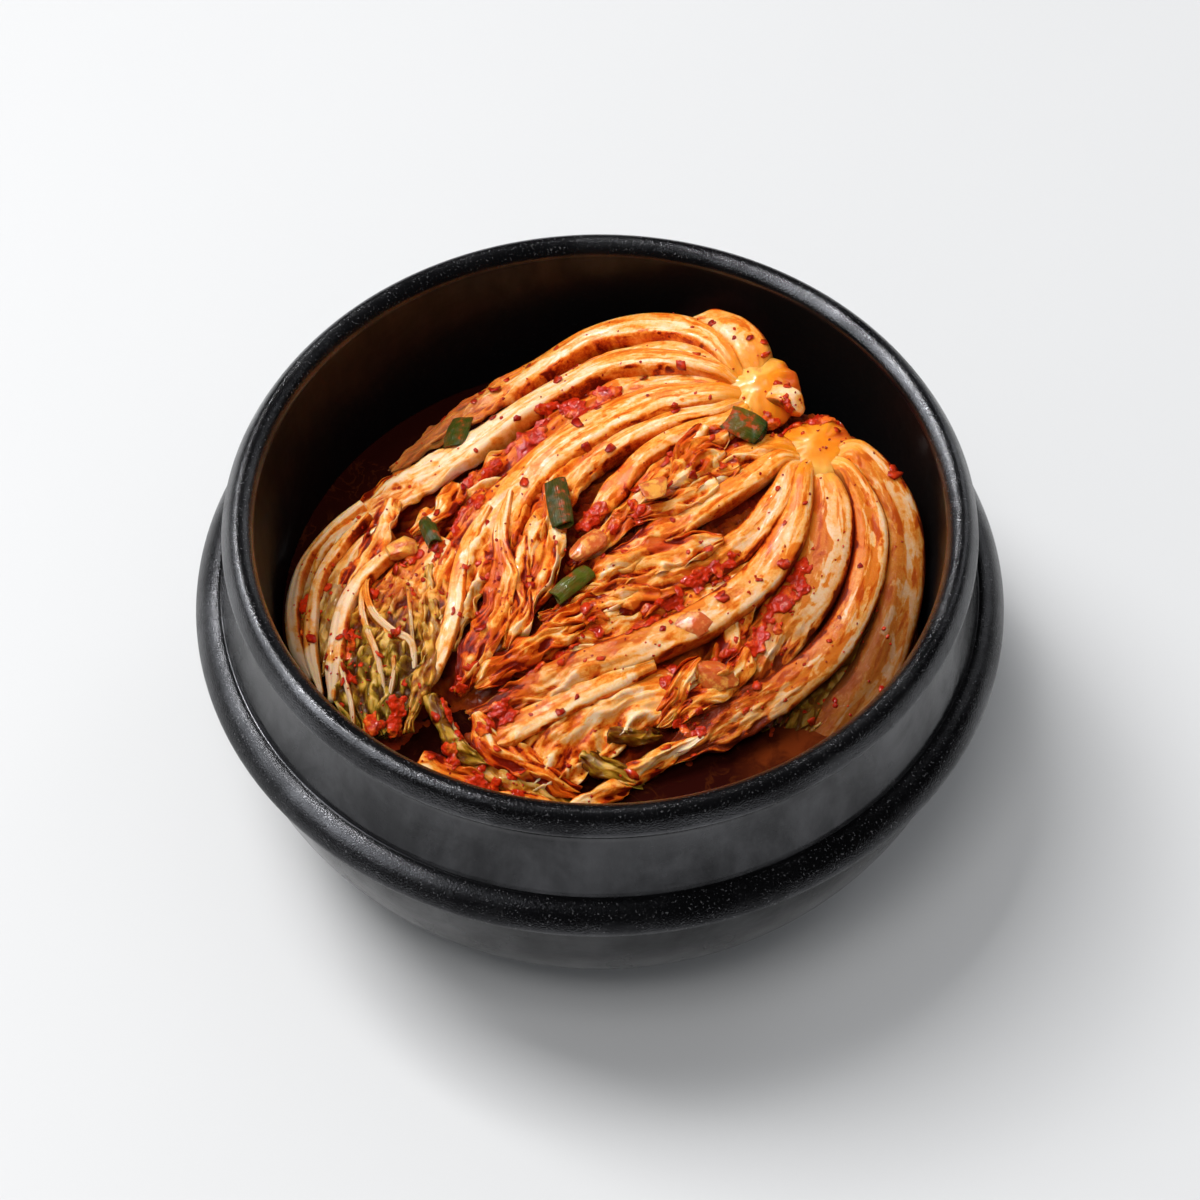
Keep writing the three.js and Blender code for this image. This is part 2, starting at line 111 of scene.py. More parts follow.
# In the tables of leaves and strips below, some leaves are given painted shade: their colour is darkened
# where they lie in shade.
LEFT_LEAVES = [
    leaf([(47, 60), (44, 70), (35, 79), (24, 82)], 9, 12, 7, 0.8, 0, 0),
    leaf([(41, 60), (33, 73), (18, 81), (0, 82), (-18, 75), (-35, 67), (-50, 58), (-63, 48)],
         9, 13, 13, 0.72, 1.6, 0, brown=0.8),
    leaf([(40, 60), (26, 70), (8, 73), (-10, 68), (-28, 60)], 7, 10, 8, 0.6, 1.2, -2),
    leaf([(38, 58), (24, 65), (6, 68), (-12, 62), (-30, 53), (-48, 42), (-66, 34), (-80, 20)],
         8, 12, 19, 0.75, 1.6, 0.5, pale=1.0, dim=0.05),
    leaf([(36, 57), (18, 61), (0, 58), (-18, 47), (-36, 33), (-50, 19), (-59, 6)],
         7, 10, 10, 0.35, 1.8, -3),
    leaf([(36, 51), (18, 51), (0, 45), (-18, 33), (-32, 16), (-42, -4), (-45, -26)],
         12, 12, 22, 0.7, 2.4, 1),
    leaf([(37, 46), (21, 44), (6, 38), (-7, 29), (-17, 15), (-21, 1), (-27, -12)],
         6.5, 10, 13, 0.62, 2.4, 0),
    leaf([(39, 42), (26, 39), (12, 31), (1, 18), (-5, 10)], 6, 9, 7, 0.8, 0.8, 0),
    leaf([(41, 40), (29, 34), (17, 25), (6, 11), (-9, -1)], 5, 8, 8, 0.5, 1.6, -1),
    leaf([(-46, 12), (-56, -6), (-63, -28), (-64, -52)], 14, 7, 27, 0.25, 2.3, 0.4,
         green=1.0, pucker=0.8, keel=0.0, soak=0.3, dim=0.1),
    leaf([(-62, 22), (-73, 12), (-79, -6), (-82, -30)], 5, 8, 12, 0.4, 1.8, -0.6,
         pale=0.5, green=0.8, soak=0.5, dim=0.35),
    leaf([(-72, 26), (-82, 18), (-87, 0), (-85, -24)], 5, 8, 10, 0.5, 1.6, -0.6,
         pale=0.6, green=0.7, soak=0.5, dim=0.5),
]
RIGHT_LEAVES = [
    leaf([(53, 33), (41, 30), (29, 24), (15, 19)], 6, 9, 13, 0.3, 2, 0),
    leaf([(53, 29), (44, 23), (32, 15), (17, 6), (3, 1)], 6.5, 9, 9, 0.7, 1.2, 0.5),
    leaf([(56, 27), (51, 16), (39, 2), (20, -7), (0, -13), (-17, -18)], 7.5, 10, 14, 0.5, 2.2, 0, dim=0.2),
    leaf([(48, 0), (31, -9), (10, -18), (-10, -25), (-28, -31)], 6, 8, 13, 0.3, 2.2, -2),
    leaf([(60, 26), (57, 12), (48, -4), (32, -17), (11, -27), (-11, -36), (-37, -47)],
         9.8, 12, 11, 0.8, 1.4, 1.5, dim=0.2),
    leaf([(16, -31), (-3, -39), (-20, -48), (-37, -58)], 7.5, 9, 9, 0.8, 1, 0),
    leaf([(65, 26), (66, 12), (62, -4), (53, -18), (44, -32), (34, -42)], 14, 10, 16, 0.7, 2.2, -1,
         wet=1.0, soak=1.6, dim=0.4),
    leaf([(29, -34), (8, -41), (-11, -53), (-22, -66)], 14, 8, 25, 0.35, 2.6, -2, pale=0.5),
    leaf([(71, 27), (78, 12), (77, -3), (68, -21), (53, -35), (34, -48), (14, -59)],
         9, 12, 14, 0.75, 2, 1, wet=1.0, soak=1.1, dim=0.34),
    leaf([(75, 32), (85, 17), (87, 0), (82, -20), (69, -40), (50, -58)], 12, 14, 15, 0.9, 0.5, 0,
         wet=1.0, soak=1.1, sink=9, dim=0.9),
    leaf([(81, -2), (76, -20), (64, -36), (50, -48)], 8, 5, 13, 0.1, 1.6, -5, green=1.0, sink=2, dim=0.6),
    leaf([(-44, -46), (-38, -58), (-24, -66), (-6, -70)], 5, 5, 8, 0.3, 1.2, -3, green=0.7),
]

# Crumpled inner leaves, torn tips and thin strips that lie between and on the larger leaves.
LEFT_STRIPS = [
    leaf([(-16, 26), (-14, 12), (-15, 0), (-18, -9), (-20, -15)], 3, 3, 9, -0.2, 2.2, 0.5, frill=1.0),
    leaf([(38, 35), (30, 33), (22, 27)], 2, 3, 7, -0.2, 2.2, 2.0, frill=1.0),
    leaf([(31, 38), (26, 31), (24, 23)], 2, 3, 6, -0.2, 2.2, 2.6, frill=1.0),
    leaf([(-62, 31), (-65, 20), (-69, 9), (-73, 2), (-75, -7)], 3, 4, 9, -0.2, 1.8, 1.6,
         frill=0.5, gold=1.0),
    leaf([(-42, 31), (-47, 21), (-55, 16)], 2, 3, 8, -0.2, 1.8, 1.6, frill=0.5),
    leaf([(-32, 20), (-38, 8), (-41, -4), (-42, -14), (-44, -23), (-47, -32), (-50, -38)],
         4.5, 5, 6, 0.95, 0.8, 1.4, pale=0.6),
    leaf([(-26, 24), (-29, 9), (-28, -5), (-31, -19), (-37, -31), (-41, -41)],
         4, 4, 10, 0.45, 2.2, 2.0, frill=0.7),
    leaf([(-22, 8), (-24, -5), (-23, -16), (-27, -27)], 2, 3, 9, -0.2, 2.4, 0.6, frill=1.0),
    leaf([(-57, 10), (-63, 7), (-69, 1), (-74, -8), (-76, -22), (-77, -40)],
         4.8, 5, 3.0, 1.3, 0, 1.9, pale=1.0, soak=0.1, dim=0.25),
    leaf([(-66, 4), (-69, -3), (-68.5, -14), (-64, -28), (-61, -42)],
         1.7, 3.0, 1.0, 1.3, 0, 1.2, pale=0.8, soak=0.2, dim=0.3),
    leaf([(-64, 6), (-68, -2), (-66, -12), (-60, -20), (-54, -25), (-53, -36)],
         1.9, 3.0, 1.0, 1.3, 0, 1.3, pale=0.8, soak=0.2, dim=0.3),
    leaf([(-64, -13), (-61, -22), (-59, -33), (-61, -44)], 1.2, 2.6, 0.9, 1.3, 0, 0.9,
         pale=0.7, soak=0.2, dim=0.4),
    leaf([(-56, -2), (-55, -12), (-54, -22), (-53, -33)], 1.1, 2.6, 0.9, 1.3, 0, 0.8,
         pale=0.5, green=0.4, soak=0.2, dim=0.4),
    leaf([(-76, -20), (-74, -31), (-71, -43), (-70, -53)], 1.4, 2.6, 1.0, 1.3, 0, 1.2,
         pale=0.8, soak=0.2, dim=0.4),
    leaf([(-50, 2), (-49, -10), (-48, -24), (-51, -38), (-55, -52)], 1.5, 2.4, 5, 0.0, 1.6, 1.6,
         green=0.7, gold=1.0, frill=0.7),
    leaf([(-68, 26), (-77, 15), (-82.5, 3), (-84, -11), (-83.5, -24), (-80, -37)],
         3.4, 4, 2.4, 1.3, 0, 1.8, pale=1.0, soak=0.3, dim=0.4),
    leaf([(-70, 32), (-80, 24), (-87.5, 12), (-90, -3), (-88.5, -18), (-83.5, -31)],
         4.0, 5, 3, 1.3, 0, 1.2, pale=1.0, soak=0.3, dim=0.55),
    leaf([(49, 53), (53, 49), (57, 46), (60, 43.5)], 5.5, 5, 4, 1.3, 0, 0.6, pale=0.7, soak=0.0),
]
RIGHT_STRIPS = [
    leaf([(37, 29), (29, 26), (20, 20)], 2, 3, 7, -0.2, 2.2, 2.2, frill=1.0),
    leaf([(41, 25), (32, 23), (23, 17)], 2, 3, 7, -0.2, 2.2, 1.6, frill=1.0),
    leaf([(34, 21), (27, 17), (16, 12), (7, 12)], 2, 3, 7, -0.2, 2.0, 1.4, frill=1.0),
    leaf([(36, 3), (21, -1), (7, -5), (-7, -11)], 3, 4, 10, 0.1, 2.2, 1.4, frill=0.8),
    leaf([(18, -14), (6, -15), (-6, -19), (-18, -25)], 2, 3, 9, -0.2, 2.4, 0.8, frill=1.0),
    leaf([(-4, -22), (-16, -26), (-28, -33), (-36, -38)], 2, 3, 9, -0.2, 2.4, 1.0, frill=1.0),
    leaf([(45, -6), (40, -17), (38, -26), (31, -33)], 2, 3, 8, -0.2, 1.8, -0.6, frill=0.6),
    leaf([(42, -27), (40, -33), (35, -38), (27, -42), (18, -48)], 3, 3, 7, 0.0, 2.2, 1.2, frill=1.0),
    leaf([(29, -31), (24, -36), (21, -43), (16, -49)], 2.5, 3, 6, 0.1, 2.0, 1.6, frill=0.8),
    leaf([(30, -50), (19, -56), (11, -61), (3, -63)], 3, 3, 6, 0.3, 1.6, -1.0, frill=0.6, pale=0.5),
    leaf([(-6, -57), (3, -60), (12, -62)], 2, 3, 7, -0.2, 1.6, -2.0, green=0.9, frill=0.6),
    leaf([(2, -52), (10, -53), (18, -50)], 1.5, 2.5, 5, -0.2, 1.4, 0.6, green=0.9, frill=0.6),
    leaf([(-52, -61), (-42, -65), (-30, -69)], 2, 3, 9, -0.2, 1.6, 0.2, frill=0.6, red=0.8),
    leaf([(-30, -70), (-20, -71.5), (-10, -73.5)], 4.5, 3, 4, 0.9, 0.4, -0.4, gold=1.0),
    leaf([(-10, -73), (0, -69), (9, -65)], 4, 3, 6, 0.3, 1.0, 0.2, red=0.5),
    leaf([(-48, -41), (-45, -50), (-40, -57), (-31, -61)], 2, 3, 5.5, -0.2, 0.8, 1.4, green=0.9, frill=0.4),
    leaf([(-36, -46), (-30, -56), (-18, -62), (-6, -66)], 3, 4, 9, 0.1, 1.8, -1.0, frill=0.7),
    leaf([(38, -43), (35, -50), (33, -58)], 1.2, 2, 2, 1.3, 0, -9.0, pale=0.6, dim=0.5),
    leaf([(52, -38), (44, -47), (36, -56)], 1.2, 2, 5, 0.1, 1.2, -9.4, green=1.0, frill=1.0, dim=0.6),
    leaf([(80, 2), (77.5, -9), (73, -20), (65, -30)], 1.5, 3, 8, -0.2, 1.6, 0.2,
         green=1.2, frill=0.6, dim=0.4),
]

# Where chilli paste lies: its route and its width.
PASTE_RUNS = [
    ([(2, 58), (-7, 57), (-16, 51), (-25, 43)], 6.5),
    ([(-30, 38), (-36, 35), (-41, 33)], 3.5),
    ([(-35, 24), (-43, 19), (-50, 11), (-57, 3)], 5),
    ([(-67, -2), (-66, -9)], 2.6),
    ([(-58, -7), (-57, -12)], 2.4),
    ([(-72, -30), (-70, -38)], 2.4),
    ([(-57, -42), (-60, -50)], 2.8),
    ([(58, -3), (52, -14), (45, -24), (39, -29)], 4.5),
    ([(-26, -44), (-30, -48), (-34, -50)], 4.5),
    ([(-11, -30), (-23, -32), (-29, -36)], 4),
    ([(-1, -20), (-8, -24)], 4),
    ([(-41, -40), (-46, -50), (-46, -56), (-42, -63)], 5.5),
    ([(-71, -16), (-77, -26)], 3.5),
    ([(-86, -3), (-87, -12), (-85, -20)], 3),
    ([(50, 45), (54, 43), (57, 41)], 3),
    ([(60, 43.5), (65, 43.5), (71, 43)], 4),
    ([(-29, 2), (-32, -6), (-32, -14)], 3),
    ([(4, 9), (13, 12)], 3.5),
    ([(26, -15), (17, -17), (11, -26)], 3.5),
    ([(38, -3), (29, -8), (25, -13)], 3.5),
    ([(27, -32), (20, -34), (13, -36)], 3.5),
    ([(0, 15), (-7, 7), (-12, 2)], 3.5),
    ([(-37, -67), (-29, -69), (-22, -70)], 5),
    ([(30, -47), (22, -50)], 2.5),
    ([(-64, -46), (-67, -54)], 3),
    ([(22, 30), (28, 26)], 3),
]

# Scallion: plan place, heading in degrees, length, width and thickness, lift, and how light it is.
SCALLIONS = [
    ((-43, 53), 80, (12, 8, 3.4), -1, 0.1),
    ((-12, 16), 98, (16, 7.2, 3.6), 1, 0.0),
    ((-8, -10), 40, (13, 6, 3.2), 0, 0.75),
    ((42.5, 37.2), -32, (11.6, 9.2, 3.5), 0.4, 0.0),
    ((-50, 13), 110, (10, 5, 3.2), 1, 0.0),
]
OLIVE_SCALLION = 3  # the one by the roots turns olive towards one end
SCALLION_WALL = 0.55

# Radish: plan place, heading, size and lift as above, its squareness, and how golden, pink and
# soaked it is. A squareness of 1 is round, and less is boxier.
RADISHES = [
    ((28, -23), 10, (12, 9, 4.5), 0, 0.6, (0.2, 0.5, 0.9)),
    ((33, -36), -35, (14, 9, 4.5), -1, 0.65, (0.6, 0.0, 0.9)),
    ((16, 16), 35, (9, 8, 6), 2, 0.26, (0.9, 0.0, 0.3)),
    ((-58, 8), 20, (9, 8, 5), 1, 0.55, (1.0, 0.0, 0.5)),
    ((-4, 1), 38, (13, 7, 5), 0, 0.6, (0.2, 0.0, 1.0)),
]

# The two quarters: name, kind of piece, leaves and first seed.
LEAF_GROUPS = [
    ("left", "leaf", LEFT_LEAVES, 100), ("left", "strip", LEFT_STRIPS, 1100),
    ("right", "leaf", RIGHT_LEAVES, 2400), ("right", "strip", RIGHT_STRIPS, 3100),
]

# Root ends: quarter, plan place, radius, the plan direction of its redder side, and seed.
ROOTS = [
    ("left", LEFT_ROOT, 14.0, (0.85, -0.3), 31),
    ("right", RIGHT_ROOT, 13.5, (0.25, 0.95), 37),
]
ROOT_HALF_HEIGHT = 6.5
ROOT_DEPTH = 8.4  # from the heap's surface down to the middle of a root end
ROOT_REACH = 15.5  # a leaf that starts this near to a root grows from it

STATION_SPACING = 0.7  # along a leaf
POINTS_ROUND = 88  # round a leaf
BLADE_HALF = 0.6  # half the thickness of a blade
SOLID_BLADE = 3.0  # how thick the solid under a blade is
RIB_SPREAD = 1.2  # a rib shows this much wider than its section
RIB_ROUNDING = 3.3  # 2 is an ellipse, and more is flatter on top
RIB_ROLL = 0.19  # how far a rib tips to one side
ROOT_DROOP = 5.0  # how far a rib dips where it leaves the root
TIP_DROOP = 3.0  # how far a tip sinks into the leaves under it

BRINE_WALL = 93.85  # the brine's radius at its level
BRINE_CREEP = 0.9  # how far the brine climbs the wall
SUNKEN_LEAF = RIGHT_LEAVES[9:10]  # lies just under the brine

PASTE_DENSITY = 1.5  # lumps tried for each square millimetre of a run
PASTE_GRAIN = 0.33  # cell in which the lumps of paste are merged
PASTE_UPRIGHT = 0.25  # paste lies only where a surface's normal rises this much
FLAKE_UPRIGHT = 0.3  # and flakes only where it rises this much
FLAKE_CORNERS = 7
FLAKES_BY_PASTE = 0.35  # share of the flakes that lie near paste
FLAKE_REACH = 90.0  # flakes lie within this radius
FLAKE_FLOOR = 0.062  # and above this height in metres

# How much light the glaze throws back inside, on the rim, above the ledge and below it.
INSIDE_SHINE, RIM_SHINE, COLLAR_SHINE, BODY_SHINE = 0.1, 0.44, 0.34, 0.17

# Lamps: name, place in metres, width and height, tint, and the kind of light it doesn't give.
LAMPS = [
    ("key", (-1.17, 0.68, 2.45), (1.1, 1.6), (1.0, 0.99, 0.975), "visible_glossy"),
    ("panel", (-1.56, 0.11, 1.45), (1.8, 1.5), (0.96, 0.98, 1.0), "visible_diffuse"),
    ("small", (-1.0, 0.9, 2.0), (0.26, 0.26), (1.0, 0.99, 0.98), "visible_diffuse"),
    ("fill", (1.37, 1.45, 0.98), (0.7, 1.3), (0.97, 0.98, 1.0), None),
    ("overhead", (-0.3, -0.9, 2.5), (0.8, 0.8), (1.0, 0.985, 0.965), "visible_glossy"),
]
LAMP_AIM = (0, 0, 0.05)
SKY_STRENGTH = 0.31
CAMERA_AIM = (0, 0, 0.0648)
CAMERA_DISTANCE = 1.0
CAMERA_TILT = 53.5  # degrees above the floor
CAMERA_LENS = 101.7
CAMERA_SENSOR = 36.0


# Sizes and colours that a user would change.


def colour(name, description, default):
    return FloatVectorProperty(
        name=name, description=description, subtype="COLOR", size=3, min=0.0, max=1.0, default=default
    )


def length(name, description, default):
    return FloatProperty(name=name, description=description, default=default, unit="LENGTH", min=0.0)


def power(name, description, default):
    return FloatProperty(name=name, description=description, default=default, unit="POWER", min=0.0)


class BowlSettings(bpy.types.PropertyGroup):
    rim_radius: length("Rim radius", "Outside of the rolled rim", 0.108)
    ledge_radius: length("Ledge radius", "Outside of the ledge round the bowl", BOWL_HIGH.x)
    foot_radius: length("Foot radius", "Edge of the flat foot", 0.062)
    segments: IntProperty(name="Segments", description="Steps round the bowl", default=224, min=32)
    glaze: colour("Glaze", "Black glaze", (0.0033, 0.0033, 0.0038))
    speck: colour("Speck", "Pale specks in the glaze", (0.05, 0.05, 0.052))


class BrineSettings(bpy.types.PropertyGroup):
    deep: colour("Deep brine", "Where the brine is deep", (0.022, 0.003, 0.002))
    shallow: colour("Shallow brine", "Where a leaf lies just under the surface", (0.12, 0.020, 0.004))


class CabbageSettings(bpy.types.PropertyGroup):
    rib: colour("Rib", "Cream rib", (0.96, 0.55, 0.26))
    stained: colour("Stained rib", "Rib where chilli has soaked in", (0.74, 0.145, 0.008))
    blade: colour("Blade", "Thin orange leaf", (0.88, 0.29, 0.032))
    # The darkest stop of a leaf's colour, reached where painted shade darkens the bottom of the folds.
    crease: colour("Crease", "Bottom of the folds", (0.16, 0.006, 0.001))
    green: colour("Green", "Outer green leaf", (0.27, 0.155, 0.008))
    core: colour("Core", "Root end of the cabbage", (0.95, 0.31, 0.012))


class ToppingSettings(bpy.types.PropertyGroup):
    paste: colour("Paste", "Chilli paste", (0.58, 0.026, 0.003))
    flake: colour("Flake", "Chilli flakes", (0.34, 0.006, 0.003))
    scallion: colour("Scallion", "Dark green scallion leaf", (0.008, 0.032, 0.005))
    radish: colour("Radish", "Radish soaked in chilli", (0.85, 0.34, 0.08))
    flakes: IntProperty(name="Flakes", description="How many chilli flakes lie on top", default=760, min=0)


class StageSettings(bpy.types.PropertyGroup):
    floor: colour("Floor", "Plain floor", (0.69, 0.698, 0.712))
    key: power("Key light", "Main soft light", 71.0)
    panel: power("Panel light", "Panel that wet things mirror", 42.0)
    small: power("Small light", "Lamp that gives glints", 36.0)
    fill: power("Fill light", "Second soft light", 4.5)
    overhead: power("Overhead light", "Light from above", 17.0)


SETTINGS = {
    "kimchi_bowl": BowlSettings,
    "kimchi_brine": BrineSettings,
    "kimchi_cabbage": CabbageSettings,
    "kimchi_topping": ToppingSettings,
    "kimchi_stage": StageSettings,
}


# Noise, curves and the heap's form.


def smoothstep(low, high, value):
    share = np.clip((value - low) / (high - low), 0.0, 1.0)
    return share * share * (3 - 2 * share)


def mixed(a, b, share):
    return a + (b - a) * share


def ripple(x, y, seed):
    """Smooth noise from about -1 to 1 over two coordinate arrays."""
    turns = np.random.default_rng(seed).uniform(0, 2 * math.pi, (64, 64))
    x, y = np.broadcast_arrays(np.asarray(x, float), np.asarray(y, float))
    column, row = np.floor(x).astype(int), np.floor(y).astype(int)
    dx, dy = x - column, y - row

    def corner(i, j):
        turn = turns[(column + i) & 63, (row + j) & 63]
        return np.cos(turn) * (dx - i) + np.sin(turn) * (dy - j)

    fade_x = dx ** 3 * (dx * (dx * 6 - 15) + 10)
    fade_y = dy ** 3 * (dy * (dy * 6 - 15) + 10)
    low = mixed(corner(0, 0), corner(1, 0), fade_x)
    high = mixed(corner(0, 1), corner(1, 1), fade_x)
    return 1.5 * mixed(low, high, fade_y)


def billows(x, y, seed):
    """Rounded swellings parted by sharp creases, from 0 in the creases to about 1."""
    return np.clip(np.abs(ripple(x, y, seed)) * 1.7, 0, 1)


def heap_height(x, y):
    dx, dy = x - HEAP_PEAK[0], y - HEAP_PEAK[1]
    along = dx * LEAF_DIRECTION[0] + dy * LEAF_DIRECTION[1]
    across = dx * LEAF_DIRECTION[1] - dy * LEAF_DIRECTION[0]
    return HEAP_TOP - HEAP_SLOPE * along - HEAP_CROWN * across ** 2


def heap_normal(x, y):
    fall_x = (heap_height(x + 1, y) - heap_height(x - 1, y)) / 2
    fall_y = (heap_height(x, y + 1) - heap_height(x, y - 1)) / 2
    normal = np.stack([-fall_x, -fall_y, np.ones_like(fall_x)], -1)
    return normal / np.linalg.norm(normal, axis=-1, keepdims=True)


def route(points, count, closed=False):
    """Evenly spaced points on a smooth curve through the given plan points, and its length."""
    points = np.array(points, float)
    if closed:
        points = np.concatenate([points[-1:], points, points[:2]])
    else:
        points = np.concatenate([[2 * points[0] - points[1]], points, [2 * points[-1] - points[-2]]])
    share = np.linspace(0, 1, 24, endpoint=False)[:, None]
    dense = []
    for a, b, c, d in zip(points, points[1:], points[2:], points[3:]):
        dense.append(0.5 * (2 * b + (c - a) * share + (2 * a - 5 * b + 4 * c - d) * share ** 2
                            + (3 * b - a - 3 * c + d) * share ** 3))
    dense = np.concatenate(dense + [points[-2][None]])
    step = np.linalg.norm(np.diff(dense, axis=0), axis=1)
    travelled = np.concatenate([[0], np.cumsum(step)])
    stops = np.linspace(0, travelled[-1], count)
    even = np.stack([np.interp(stops, travelled, dense[:, axis]) for axis in (0, 1)], -1)
    return even, travelled[-1]


# Meshes.


def deselect():
    if bpy.context.object and bpy.context.object.mode != "OBJECT":
        bpy.ops.object.mode_set(mode="OBJECT")
    bpy.ops.object.select_all(action="DESELECT")


def finished(piece, name, material, nodes=()):
    """Names a piece, gives it its finish and lets it ride on the frame."""
    piece.name = piece.data.name = name
    piece.data.materials.clear()
    piece.data.materials.append(material)
    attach(piece, "root")
    if nodes:
        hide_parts(*nodes)
    return piece


def woven(points, attributes):
    """A closed skin from rows and columns of points in millimetres: the first and last columns meet
    and each end row closes on itself. attributes are values for each point, by name."""
    rows, columns = points.shape[:2]
    deselect()
    bpy.ops.mesh.primitive_grid_add(x_subdivisions=columns - 1, y_subdivisions=rows - 1, size=1)
    piece = bpy.context.object
    piece.data.vertices.foreach_set("co", (points * MM).astype(np.float32).ravel())
    for name, values in attributes.items():
        layer = piece.data.attributes.new(name, "FLOAT_VECTOR", "POINT")
        spread = np.stack([np.broadcast_to(value, (rows, columns)) for value in values], -1)
        layer.data.foreach_set("vector", spread.astype(np.float32).ravel())
    bpy.ops.object.mode_set(mode="EDIT")
    bpy.ops.mesh.select_all(action="SELECT")
    bpy.ops.mesh.remove_doubles(threshold=1e-6)
    bpy.ops.mesh.normals_make_consistent(inside=False)
    bpy.ops.object.mode_set(mode="OBJECT")
    bpy.ops.object.shade_smooth()
    return piece


def places_of(piece):
    """The places of a mesh's points in metres."""
    spots = np.empty(len(piece.data.vertices) * 3, np.float32)
    piece.data.vertices.foreach_get("co", spots)
    return spots.reshape(-1, 3)


def marked(piece, **marks):
    """Gives each point of a mesh a value by name."""
    for name, values in marks.items():
        layer = piece.data.attributes.new(name, "FLOAT", "POINT")
        layer.data.foreach_set("value", values.astype(np.float32))


def piece_from(name, points, faces):
    mesh = bpy.data.meshes.new(name)
    mesh.from_pydata(points.tolist(), [], faces)
    piece = bpy.data.objects.new(name, mesh)
    bpy.context.scene.collection.objects.link(piece)
    return piece


def rings_below(line, steps):
    """Rows of points that close a surface from below: its outline resized by each share and set at
    each height."""
    return np.stack([np.column_stack([share * line, np.broadcast_to(height, len(line))])
                     for share, height in steps])


def paste_share(x, y):
    """1 where chilli paste lies, falling to 0 a few millimetres away."""
    best = np.full(np.broadcast(x, y).shape, 9.0)
    for path, width in PASTE_RUNS:
        for px, py in route(path, 14)[0]:
            best = np.minimum(best, np.hypot(x - px, y - py) - width / 2)
    return 1 - smoothstep(-0.5, 3.5, best)


def whole_path(spec):
    """The leaf's path, led on into the root end it grows from."""
    first = spec["path"][0]
    for root in (LEFT_ROOT, RIGHT_ROOT):
        if math.dist(first, root) < ROOT_REACH:
            inner = tuple(r + 0.2 * (f - r) for r, f in zip(root, first))
            return [inner, *spec["path"]], True
    return spec["path"], False


def leaf_grid(spec):
    """The rows along a leaf and the points round it, and how far its rib has opened into blade."""
    path, rooted = whole_path(spec)
    _, run = route(path, 3)
    rows = max(30, int(run / STATION_SPACING))
    plan, run = route(path, rows)
    t = np.linspace(0, 1, rows)[:, None]
    turn = np.linspace(0, 2 * math.pi, POINTS_ROUND + 1)[None, :]
    across = -np.cos(turn)
    tip = 1 - 0.6 * smoothstep(0.8, 1, t)
    frill = spec.get("frill", 0.0)
    if frill:
        tip = tip * mixed(1, 0.55 + 0.45 * smoothstep(0, 0.15, t), frill)
    return SimpleNamespace(
        plan=plan, rooted=rooted, t=t, s=t * run, across=across, facing=np.sin(turn),
        edge=np.abs(across), lane=across * spec["blade"] / 2, tip=tip, frill=frill,
        pucker=spec.get("pucker", 0.0),
        opened=smoothstep(spec["start"] - 0.25, spec["start"] + 0.15, t),
    )


def leaf_half_width(spec, grid, seed):
    neck = mixed(0.45 if grid.rooted else 0.5, 1, smoothstep(0, 0.26, grid.t))
    half = mixed(RIB_SPREAD * spec["rib"] * neck, spec["blade"], grid.opened) / 2 * grid.tip
    return half * (1 + (0.05 + 0.12 * grid.frill) * ripple(grid.s / 12, 0.5, seed + 11))


def leaf_folds(grid, seed):
    """The height of a blade's folds and crumples, and how deep each crease is."""
    s, lane = grid.s, grid.lane
    bend = ripple(s / 13, lane / 7, seed)
    broad = ripple(lane / 5.0 + 1.0 * bend, s / 24 + 0.4 * bend, seed + 1)
    close = ripple(lane / 2.9 + 0.8 * bend, s / 13 + lane / 12, seed + 2)
    pucker = ripple(lane / 5.0 + 0.8 * bend, s / 9.0, seed + 3)
    dimple = ripple(lane / 2.6 + 0.5 * bend, s / 4.2, seed + 4)
    billow = np.sqrt(mixed(broad, pucker, grid.pucker) ** 2 + 0.012)
    small = np.sqrt(mixed(close, dimple, grid.pucker) ** 2 + 0.012)
    crumple = 1 - np.sqrt(ripple(lane / 2.3 + 0.9 * bend, s / 7 + lane / 6, seed + 15) ** 2 + 0.003)
    smooth = smoothstep(-0.15, 0.45, ripple(lane / 6, s / 15, seed + 16))
    rough = 1 - 0.75 * smooth * (1 - grid.frill) * (1 - grid.pucker)
    shallow = ((0.6 + 1.0 * grid.pucker) * small + 0.9 * (crumple - 0.72)) * rough
    crease = np.clip((1.3 - 0.6 * grid.pucker) * billow + shallow, 0, 1)
    crumpled = ((0.8 + 0.7 * grid.pucker) * small + 0.9 * (crumple - 0.7)) * rough
    return 2.3 * billow + crumpled - 0.8, crease


def leaf_keel(spec, grid):
    """The ridge that a rib leaves along the blade, from 0 to 1."""
    width = 0.3 * spec["rib"] * (1.15 - 0.75 * grid.t) + 0.3
    keel = grid.opened * np.exp(-(grid.lane / width) ** 2) * (1 - grid.t ** 2)
    return keel * spec.get("keel", 1.0)


def leaf_lift(spec, grid, folds, keel, half_width, seed):
    """How far the leaf's middle plane rises and falls, and the grooves along the top of its rib."""
    s, lane, across, edge, opened = grid.s, grid.lane, grid.across, grid.edge, grid.opened
    fold = spec["pleat"] * folds * (1 - 0.8 * keel)
    lift = opened * np.sqrt(grid.tip) * (fold + 0.09 * ripple(lane / 1.2, s / 5, seed + 5))
    waves = (1.6 + 1.0 * grid.frill) * edge ** 3 * ripple(s / 4.6, np.sign(across) * 3.3, seed + 6)
    waves = waves + 0.6 * edge ** 6 * ripple(s / 2.8, np.sign(across) * 5.1, seed + 7)
    lift = lift + opened * (waves - 1.1 * edge ** 2)
    lift = lift + 0.4 * ripple(s / 21, across * 0.8, seed + 8)
    groove = 0.55 * ripple(across * 1.6, s / 40, seed + 9) + 0.1 * ripple(lane / 1.1, s / 22, seed + 10)
    lift = lift + (1 - opened) * groove * (grid.facing > 0) * (1 - edge ** 2)
    lift = lift + keel * 0.16 * spec["rib"] * (grid.facing > 0)
    return lift + (1 - opened) * RIB_ROLL * across * half_width * smoothstep(4, 14, s)


